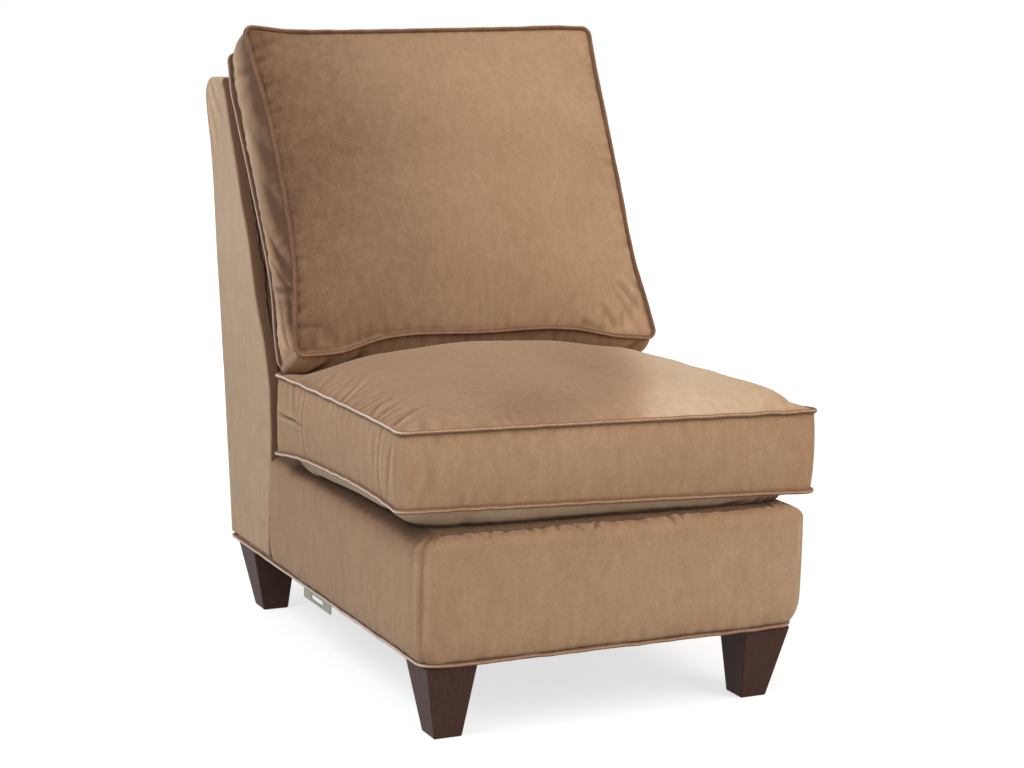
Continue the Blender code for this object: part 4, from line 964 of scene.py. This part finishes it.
def from_seam(panel):
    """How many cells each point of a panel's grid lies from its seam."""
    row, column = (np.minimum(np.arange(count), np.arange(count)[::-1]) for count in panel.shape[:2])
    return np.minimum(row[:, None], column[None])


def seam_hold(panel):
    """One inside a panel, falling to nothing at its seam over a few millimetres."""
    return limited(from_seam(panel) / HELD_CELLS)


def seam_shade(panel):
    """How dark a panel lies beside its seam, flattened pile and painted shade: less one there, fading over
    about 6 mm.
    """
    return -bell(from_seam(panel), CRUSHED_AND_SHADED_CELLS)


def shape_face(panel, swells, folds):
    """Raise a panel by its swells and folds, and draw it down beside its piping."""
    panel[..., 2] += (swells + folds) * seam_hold(panel) + SEAM_DIP * seam_shade(panel) * seam_hold(panel)


def seam_line(boxing, row, lean, way):
    """The centre line of a piping cord: the seam moved out and up by a lean, with its outward directions."""
    ring = boxing[row]
    tangent = unit(np.roll(ring, -1, axis=0) - np.roll(ring, 1, axis=0))
    out = unit(np.cross(tangent, (0, 0, 1)))
    return ring + out * lean + np.array((0, 0, way * lean)), out


def stand_up(points, axes, place):
    """Points of a cushion's own frame, x across, y along and z through it, put in the chair's frame."""
    return points @ axes + place


def cushion_core(name, form, axes, place, look, body, slot, node):
    """The filling of a cushion: its sewn form without folds, an inset smaller all round."""
    less = dict(form, half=form["half"] - CORE_INSET, thick=form["thick"] - CORE_INSET / 2,
                crowns=[crown - CORE_INSET for crown in form["crowns"]])
    points, faces = sewn(cushion_grids(less, CORE_CELLS, CORE_ROWS))[:2]
    piece(name, stand_up(points, axes, place), faces, look, body, slot, node)


def zip_bed(points, place, chord, out, reach):
    """Cover points pressed in under a zip: place is the middle of its tape, chord and out square to it."""
    across, depth = (points - place) @ chord, (points - place) @ out
    near = limited((BED_HALF - abs(across)) / BED_SLOPE)
    near = near * limited((reach + BED_OVER - abs(points[:, 0])) / BED_END)
    press = np.minimum(0, BED_DEPTH - depth) * near * (abs(depth) < BED_NEAR)
    return points + press[:, None] * out


def boxing_pile_and_shade(form, level, folds):
    """How pale a boxing is coloured: painted shade in its folds, flattened pile and painted shade beside both
    seams.
    """
    return folds * FOLD_SHADE - bell(form["thick"] * (1 - abs(level)), SEAM_CRUSH_AND_SHADE) * SEAM_SHADE


def face_pile_and_shade(panel, folds, brush):
    """A face's colour: painted shade in its folds, flattened pile and painted shade at its seam, and its
    brushing.
    """
    return folds * FOLD_SHADE + brush * seam_hold(panel) + seam_shade(panel) * SEAM_SHADE


def sew_up(cushion, grids, naps, axes, place, zip_bar, pipings):
    """The cover of a cushion with its pile and painted light and shade, bedded for its zip, and the piping on
    both its seams.
    """
    points, faces, number = sewn(grids)
    points = zip_bed(stand_up(points, axes, place), *zip_bar)
    body = cushion + "_cushion"
    cover = piece(cushion + "_cover", points, faces, camel, body, "cover_fabric", body + "_cover")
    nap_and_painted_light = np.zeros(len(points))
    nap_and_painted_light[number] = np.concatenate([values.ravel() for values in naps])
    set_nap_and_painted_light(cover, nap_and_painted_light)
    for row, way, panel, crest, left, seed in pipings:
        line, outs = seam_line(grids[1], row, WELT_LEAN, way)
        piping("%s_%s_piping" % (cushion, panel), stand_up(line, axes, place), outs @ axes, body,
               "%s_%s_welt" % (body, panel), crest, left, seed)


seat_low = np.array(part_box("seat_cushion_bottom_welt")[0])
seat_high = np.array(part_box("seat_cushion_top_welt")[1])
seat_place = (seat_low + seat_high) / 2
seat_axes = np.eye(3)
# The two values or rows of each entry are for the lower and the upper panel or seam, and the four in a
# row for the front, right, rear and left side, or for the corners from the front left round
seat_form = {
    "half": seat_high[:2] - seat_place[:2] - WELT_RADIUS,
    "thick": seat_high[2] - seat_place[2] - WELT_RADIUS,
    "crowns": (0.044, 0.041),
    "powers": (20.0, 3.4),
    "bulges": (0.003, 0.003, 0.006, 0.001),
    "stops": (0, 0.1, 0.25, 0.5, 0.75, 0.9, 1),
    "shifts": (((0, 0, 0.013), (0, 0, -0.008), (0, 0, 0), (0, 0, 0)),
               ((0, 0, -0.002), (0, 0, -0.010), (0, 0, -0.005), (0, 0, 0))),
    "pulls": ((END_PULL, SIDE_PULL, LEVEL, SIDE_PULL), (END_PULL, SIDE_PULL, END_PULL, SIDE_PULL)),
    "lifts": ((LEVEL, LEVEL, LEVEL, (0, 0.005, 0.0085, 0.009, 0.007, 0.003, 0)),
              (LEVEL, (0, -0.004, -0.006, -0.006, -0.005, -0.002, 0), LEVEL, LEVEL)),
}
# Start, end, depth and width of the creases on each side of the boxing
seat_creases = (
    [((-0.30, 0.03), (-0.30, -0.04), 0.0012, 0.008)],
    [((UPRIGHT_SEAM, -0.07), (UPRIGHT_SEAM, 0.07), 0.0022, 0.0022)],
    [],
    [((UPRIGHT_SEAM, -0.085), (UPRIGHT_SEAM + 0.004, 0.085), 0.0045, 0.0030),
     ((UPRIGHT_SEAM - 0.006, -0.004), (SLIT_END, 0.006), 0.0060, 0.0026),
     ((UPRIGHT_SEAM + 0.040, 0.010), (UPRIGHT_SEAM + 0.055, 0.075), 0.0040, 0.006),
     ((-0.180, -0.065), (-0.180, 0.070), 0.0060, 0.0036), ((-0.206, -0.060), (-0.222, 0.045), 0.0028, 0.005),
     ((-0.238, -0.065), (-0.242, 0.065), 0.0040, 0.0040), ((-0.165, -0.02), (-0.150, 0.06), 0.0016, 0.006)])
seat_zip_low, seat_zip_high = (np.array(corner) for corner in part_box("seat_zip"))
seat_zip_place = (seat_zip_low + seat_zip_high) / 2
seat_zip_place[1] = seat_zip_low[1]
seat_zip = (seat_zip_place, np.array((0, 0, 1.0)), np.array((0, 1.0, 0)), seat_zip_high[0])
# Seat foam: pale straw, open cells of about 2 mm
foam = non_woven("open_cell_foam", "#C9B98E", "#E6DAB4")
cushion_core("seat_foam", dict(seat_form, crowns=CORE_CROWNS), seat_axes, seat_place, foam, "seat_cushion",
             "foam", "seat_cushion_core")
lower, boxing, upper = cushion_cover(seat_form)
swells, folds = fold_boxing(boxing, seat_form, seat_creases, 50)
boxing = out_of_boxing(boxing, swells + folds, seat_form)
x, y = upper[..., 0], upper[..., 1]
left_edge, front_edge = -seat_form["half"][0], -seat_form["half"][1]
swells = undulation(x, y, 0.14, 0.0014, 60) + mound(x, y, 0.024, (-0.02, 0.12), (0.24, 0.12))
swells += bell(x - 0.285, 0.05) * (0.0085 + 0.0072 * np.tanh((0.05 - y) / 0.08)) * limited((y + 0.255) / 0.04)
swells += mound(x, y, 0.006, (0.30, -0.215), (0.05, 0.05))
top_folds = gathered(
    x, y,
    (((left_edge, -0.24), (left_edge, 0.08)), (0.90, 0.44), 27, 0.0030, 0.0038, 0.075, 61),
    (((left_edge, front_edge), (left_edge + 0.06, front_edge)), (0.3, 1), 5, 0.0024, 0.005, 0.05, 62),
    (((-0.25, front_edge), (0.30, front_edge)), (0, 1), 26, 0.0009, 0.006, 0.035, 63),
    (((-left_edge, -0.22), (-left_edge, 0.20)), (-1, 0.2), 18, 0.0016, 0.006, 0.05, 64))
shape_face(upper, swells, top_folds)
# The lower panel rests on the deck, and hangs over the border's rolled edge at both sides
under_x, under_y = lower[..., 0], lower[..., 1]
fuller = np.where(under_x > 0, RIGHT_FULLER, 1.0)
past_top = limited((abs(under_x) - half_base + fuller * EDGE_ROLL) / fuller / (EDGE_ROLL + puff))
rest = deck_high.z - seat_place[2] - np.minimum(EDGE_ROLL * (1 - np.sqrt(1 - past_top ** 2)), OVERHANG)
lower[..., 2] -= mound(under_x, under_y, 0.007, (0.315, front_edge + 0.012), (0.030, 0.010))
lower[..., 2] = np.maximum(lower[..., 2], rest + SEAT_REST)
# The top is stroked dark on the left and pale on the right of a slanting line
aside = 0.898 * x - 0.44 * y
brush = 0.06 * undulation(x, y, 0.35, 1.0, 65) - 0.26
brush += 0.66 / (1 + np.exp((0.148 - aside) / 0.016)) * limited(1.2 - (aside - 0.15) / 0.4)
brush -= mound(aside, y, 0.16, (-0.01, -0.20), (0.07, 0.05))
level = np.linspace(-1, 1, len(boxing))[:, None]
off_deck = lower[..., 2] - rest
# Painted light and shade on the lower panel: paler where it hangs free of the deck, dark along the line where
# it meets it
under_light_and_shade = 0.62 * limited((off_deck - 0.003) / 0.006) - 1.1 * bell(off_deck - 0.004, 0.0028) - 0.05
# Sewn up with painted highlights on the pipings' crests, paler still on their left runs
sew_up("seat", [lower, boxing, upper],
       [under_light_and_shade, boxing_pile_and_shade(seat_form, level, folds), face_pile_and_shade(upper, top_folds, brush)],
       seat_axes, seat_place, seat_zip,
       ((0, -1, "bottom", 0, 0.60, 66), (-1, 1, "top", -math.pi / 7, 0.60, 67)))

# Back cushion
# A fibre-filled pillow in a cover like the seat's, softer, so that its seams pull in, its corners stand
# out as ears and its boxing folds where the pillow sags at the lower left.

TUCK_DEPTH, TUCK_WIDTH, TUCK_SHADE = 0.004, 0.0085, 1.1

rear_welt, front_welt = (np.array(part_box("back_cushion_%s_welt" % panel)) for panel in ("rear", "front"))
back_place = (rear_welt.sum(axis=0) + front_welt.sum(axis=0)) / 4
back_axes = np.array([(1, 0, 0), lift, (0, -lift[2], lift[1])])
welt_span = (front_welt[1] - front_welt[0]) / 2 - WELT_RADIUS
back_form = {
    "half": np.array([welt_span[0], welt_span[2] / lift[2]]),
    "thick": np.linalg.norm(front_welt.sum(axis=0) - rear_welt.sum(axis=0)) / 4,
    "crowns": (0.042, 0.043),
    "powers": (2.6, 2.8),
    "bulges": (0.022, 0.003, 0.006, -0.001),
    "stops": (0, 0.1, 0.2, 0.5, 0.8, 0.9, 1),
    "shifts": (((0.008, 0, 0), (-0.024, 0, 0), (-0.004, 0, 0), (0.002, 0, 0)),
               ((-0.001, -0.010, 0), (0.001, -0.009, 0), (-0.010, 0.012, 0), (-0.003, -0.001, 0))),
    "pulls": (
        (LEVEL, (0, 0.003, 0.006, 0.009, 0.006, 0.003, 0), END_PULL,
         (0, -0.003, -0.001, 0.0065, 0.0085, 0.003, 0)),
        ((0, 0.003, 0.020, 0.025, 0.021, 0.007, 0), (0, 0.003, 0.0085, 0.006, 0.004, 0.003, 0),
         (0, -0.001, 0.001, 0.005, 0.008, 0.007, 0), (0, 0.008, 0.015, 0.0235, 0.018, 0.009, 0)),
    ),
    "lifts": ((LEVEL,) * 4, (LEVEL,) * 4),
}
back_creases = (
    [((-0.28, -0.02), (-0.20, 0.045), 0.0040, 0.009), ((-0.32, -0.03), (-0.265, 0.04), 0.0050, 0.006),
     ((0.26, 0.00), (0.30, 0.045), 0.0030, 0.007)],
    [((-0.22, -0.03), (-0.14, 0.045), 0.0030, 0.010), ((0.20, -0.03), (0.23, 0.045), 0.0020, 0.008)],
    [((-0.25, -0.04), (-0.22, 0.045), 0.0022, 0.008), ((0.26, -0.04), (0.24, 0.045), 0.0022, 0.008)],
    [((-0.040, -0.020), (-0.180, 0.056), 0.0070, 0.008), ((-0.075, -0.030), (-0.190, 0.046), 0.0060, 0.006),
     ((-0.150, -0.040), (-0.185, 0.060), 0.0045, 0.005), ((-0.170, 0.034), (-0.300, 0.040), 0.0060, 0.006),
     ((-0.165, -0.002), (-0.300, 0.012), 0.0075, 0.007), ((-0.180, -0.034), (-0.300, -0.016), 0.0050, 0.007),
     ((0.020, 0.010), (-0.090, 0.050), 0.0045, 0.009), ((0.150, -0.030), (0.030, 0.044), 0.0035, 0.012),
     ((0.235, -0.045), (0.205, 0.046), 0.0030, 0.008)])
back_chord = joint_axis("back_pull_swing")
back_out = np.array((0, -back_chord[2], back_chord[1]))
back_zip_low, back_zip_high = (np.array(corner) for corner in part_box("back_zip"))
back_zip_place = (back_zip_low + back_zip_high) / 2 - back_out * (TEETH_HEIGHT + TAPE_WALL) / 2
back_zip = (back_zip_place, back_chord, back_out, back_zip_high[0])
# Polyester fibre: off-white, a loose mat of crimped strands
fibre = non_woven("polyester_fibre", "#D2CFC6", "#F2F0E8")
cushion_core("back_fibre", back_form, back_axes, back_place, fibre, "back_cushion", "wadding",
             "back_cushion_core")
lower, boxing, upper = cushion_cover(back_form)
swells, folds = fold_boxing(boxing, back_form, back_creases, 70)
level = np.linspace(-1, 1, len(boxing))[:, None]
ring_side = seam_ring(back_form["half"], FINE_CELLS)[2]
on_foot, on_left = (ring_side == 0)[None], (ring_side == 3)[None]
tucked = on_left * bell(back_form["thick"] * (1 + level), TUCK_WIDTH)
boxing = out_of_boxing(boxing, swells + folds - TUCK_DEPTH * tucked * (level > -1), back_form)
x, y = upper[..., 0], upper[..., 1]
left_edge, foot_edge = -back_form["half"][0], -back_form["half"][1]
face_folds = gathered(
    x, y,
    (((left_edge, -0.24), (left_edge, 0.24)), (1, 0.1), 22, 0.0016, 0.006, 0.045, 81),
    (((-0.30, foot_edge), (0.30, foot_edge)), (0, 1), 24, 0.0016, 0.006, 0.040, 82),
    (((0.24, foot_edge), (-left_edge, -0.20)), (-0.8, 0.8), 5, 0.0030, 0.006, 0.05, 83),
    (((-left_edge, -0.2), (-left_edge, 0.25)), (-1, 0), 20, 0.0012, 0.006, 0.04, 84))
shape_face(upper, undulation(x, y, 0.16, 0.0016, 80), face_folds)
# The face is stroked darker towards the left. The boxing's left side is painted pale near its rear seam and
# dark towards its front seam, painted light and shade; it is painted dark in its left tuck and at its foot,
# painted shade
brush = 0.34 * np.tanh((x + 0.08) / 0.18) - 0.22 * np.exp((left_edge - x) / 0.035)
brush += mound(x, y, 0.12, (-0.2, -0.2), (0.12, 0.1)) + mound(x, y, 0.08, (-0.25, 0.25), (0.10, 0.12))
brush += 0.05 * undulation(x, y, 0.30, 1.0, 85) + 0.02 * np.tanh((y - 0.05) / 0.2) - 0.31
shaded = on_left * (0.34 - 1.12 * limited((level + 0.65) / 1.2)) - TUCK_SHADE * tucked
shaded *= limited((boxing[..., 1] - foot_edge) / 0.05)
inside_ends = limited((0.27 - boxing[..., 0]) / 0.1) * limited((boxing[..., 0] - left_edge - 0.01) / 0.07)
shaded -= 0.55 * on_foot * limited(0.5 + level) * inside_ends
# Sewn up with painted highlights on the pipings' crests; the rear piping's left run is painted paler, the
# front's darker
sew_up("back", [lower, boxing, upper],
       [0 * lower[..., 2], boxing_pile_and_shade(back_form, level, folds) + shaded, face_pile_and_shade(upper, face_folds, brush)],
       back_axes, back_place, back_zip,
       ((0, -1, "rear", 0, 0.65, 86), (-1, 1, "front", -math.pi / 4, -0.70, 87)))

# Zips
# Brown woven tapes with metal teeth, in the seat's rear boxing and in the back's lower boxing. The
# sliders and their pulls are lacquered dark.

TAPE_HALF, TAPE_GAP, TAPE_CLOTH = 0.0102, 0.0016, 0.0008
TAPE_DROP, TAPE_RIPPLE = 0.0006, 0.00015
TOOTH_PITCH, TOOTH_WIDTH, TOOTH_LENGTH, TOOTH_MESH = 0.0032, 0.0021, 0.0040, 0.0008
TOOTH_CORNERS = np.array([(i, j, k) for i in (-0.5, 0.5) for j in (0, 1) for k in (0, 1)])
TOOTH_FACES = np.array([(0, 1, 3, 2), (4, 6, 7, 5), (0, 4, 5, 1), (2, 3, 7, 6), (0, 2, 6, 4), (1, 5, 7, 3)])

# Woven polyester tape: dark brown, dull
tape_cloth = non_woven("woven_zip_tape", "#4A3222", "#6B4A33")
# Lacquered zinc: near black with a brown cast
dark_zinc = steel("dark_lacquered_zinc", "#4A4038", "#241F1B", 0.004)
dress([cushion + part for cushion in ("seat", "back") for part in ("_zip_slider", "_zip_pull")], dark_zinc)
for cushion, (place, chord, out, half) in (("seat", seat_zip), ("back", back_zip)):
    x = np.linspace(-half, half, 320)
    count = int(2 * half / TOOTH_PITCH) - 2
    tape, teeth = [[], []], [[], []]
    for way in (-1, 1):
        c = way * np.linspace(TAPE_GAP, TAPE_HALF, 6)[:, None]
        level = TAPE_WALL - TAPE_DROP * (abs(c) / TAPE_HALF) ** 6 + TAPE_RIPPLE * np.sin(x / 0.004)[None]
        strip = place + c[..., None] * chord + level[..., None] * out
        strip[..., 0] = x[None]
        tape[1].append(grid_faces(*strip.shape[:2])[:, ::way] + len(tape[0]) * strip[..., 0].size)
        tape[0].append(strip.reshape(-1, 3))
        along = (np.arange(count) - (count - 1) / 2 + way / 4) * TOOTH_PITCH
        c = way * (TOOTH_CORNERS[:, 1] * TOOTH_LENGTH - TOOTH_MESH)
        tooth = place + c[:, None] * chord + (TAPE_WALL + TOOTH_CORNERS[:, 2] * TEETH_HEIGHT)[:, None] * out
        row = np.repeat(tooth[None], count, axis=0)
        row[..., 0] = along[:, None] + TOOTH_CORNERS[None, :, 0] * TOOTH_WIDTH
        first = 8 * (np.arange(count) + len(teeth[0]) * count)
        teeth[1].append((TOOTH_FACES[:, ::-way][None] + first[:, None, None]).reshape(-1, 4))
        teeth[0].append(row.reshape(-1, 3))
    body = cushion + "_cushion"
    strips = piece(cushion + "_zip_tape", *map(np.concatenate, tape), tape_cloth, body, "zip_tape",
                   cushion + "_zip")
    line_cloth(strips, TAPE_CLOTH)
    piece(cushion + "_zip_teeth", *map(np.concatenate, teeth), dark_zinc, body, "zip_metal")

# Studio
# A plain white floor, three soft lights and a dim white surround. The camera stands where the
# photograph was taken from, level with the top of the back and to the left of the front.

IMAGE_WIDTH, FOCAL_PIXELS, SENSOR = 1024, 2121.6, 36.0
AZIMUTH, ELEVATION, ROLL = (math.radians(angle) for angle in (-26.126, 9.616, 1.38))
STANDPOINT = (-1.4787, -3.1278, 1.0172)
FLOOR_HALF, FLOOR_GLOW, FLOOR_FADE = 15, 0.70, (0.9, 3.0)
SURROUND_LIGHT = 0.5


def stand(name, data, x, y, z, place):
    """An object of the studio with its three axes and its place."""
    made = bpy.data.objects.new(name, data)
    bpy.context.scene.collection.objects.link(made)
    made.matrix_world = Matrix(np.vstack([np.column_stack([x, y, z, place]), (0, 0, 0, 1)]))
    return made


def looked_at(tree):
    """One for the rays that see a surface as it is: straight, mirrored or through glass."""
    seen = add(tree, "LightPath", {}).node.outputs
    either = add(tree, "Math", {0: seen["Is Camera Ray"], 1: seen["Is Glossy Ray"]}, operation="MAXIMUM")
    return add(tree, "Math", {0: either, 1: seen["Is Transmission Ray"]}, operation="MAXIMUM")


def softbox(name, place, aim, size, power, colour):
    """A square area light at a place, turned towards a point."""
    lamp = bpy.data.lights.new(name, "AREA")
    lamp.size = size
    lamp.energy = power
    lamp.color = linear(colour)[:3]
    z = unit(np.subtract(place, aim))
    x = unit(np.cross((0, 0, 1), z))
    stand(name, lamp, x, np.cross(z, x), z, place)


lens = bpy.data.cameras.new("camera")
lens.sensor_width = SENSOR
lens.lens = FOCAL_PIXELS / IMAGE_WIDTH * SENSOR
backward = np.array([math.sin(AZIMUTH) * math.cos(ELEVATION), -math.cos(AZIMUTH) * math.cos(ELEVATION),
                     math.sin(ELEVATION)])
rightward = np.array([math.cos(AZIMUTH), math.sin(AZIMUTH), 0])
upward = np.cross(backward, rightward)
bpy.context.scene.camera = stand("camera", lens, rightward * math.cos(ROLL) + upward * math.sin(ROLL),
                                 upward * math.cos(ROLL) - rightward * math.sin(ROLL), backward, STANDPOINT)

floor_mesh = bpy.data.meshes.new("floor")
floor_corners = [(x * FLOOR_HALF, y * FLOOR_HALF, 0) for x, y in ((-1, -1), (1, -1), (1, 1), (-1, 1))]
floor_mesh.from_pydata(floor_corners, [], [(0, 1, 2, 3)])
floor = bpy.data.objects.new("floor", floor_mesh)
bpy.context.scene.collection.objects.link(floor)
floor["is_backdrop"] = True
# Matt white paint: grey to the light that it throws back, white to the eye except in the shadow
floor_look, tree, place = begin("white_studio_floor")
glow = add(tree, "Math", {0: looked_at(tree), 1: FLOOR_GLOW}, operation="MULTIPLY")
away = add(tree, "VectorMath", {0: place}, "Value", operation="LENGTH")
fade = add(tree, "MapRange", {"Value": away, 1: FLOOR_FADE[0], 2: FLOOR_FADE[1], 3: 1.0, 4: 1 / FLOOR_GLOW})
glow = add(tree, "Math", {0: glow, 1: fade}, operation="MULTIPLY")
floor_mesh.materials.append(surfaced(floor_look, {
    "Base Color": linear("#B6B6B6"), "Roughness": 0.9, "Specular IOR Level": 0.0,
    "Emission Color": (1, 1, 1, 1), "Emission Strength": glow}))

softbox("key_softbox", (1.7, -2.7, 2.45), (0, 0, 0.45), 2.0, 71, "#FFF6EA")
softbox("low_softbox", (-0.7, -2.6, 0.35), (0, -0.4, 0.3), 0.8, 3.0, "#FFFFFF")
softbox("fill_softbox", (-2.4, -0.9, 2.7), (0, 0, 0.5), 1.6, 76, "#EEF3FF")
world = bpy.data.worlds.new("surround")
bpy.context.scene.world = world
world.use_nodes = True
sky = world.node_tree
strength = add(sky, "MapRange", {"Value": looked_at(sky), 3: SURROUND_LIGHT, 4: 1.0})
plug(sky, sky.nodes["Background"], {"Color": (1, 1, 1, 1), "Strength": strength})
bpy.context.scene.view_settings.view_transform = "Standard"

low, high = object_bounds()
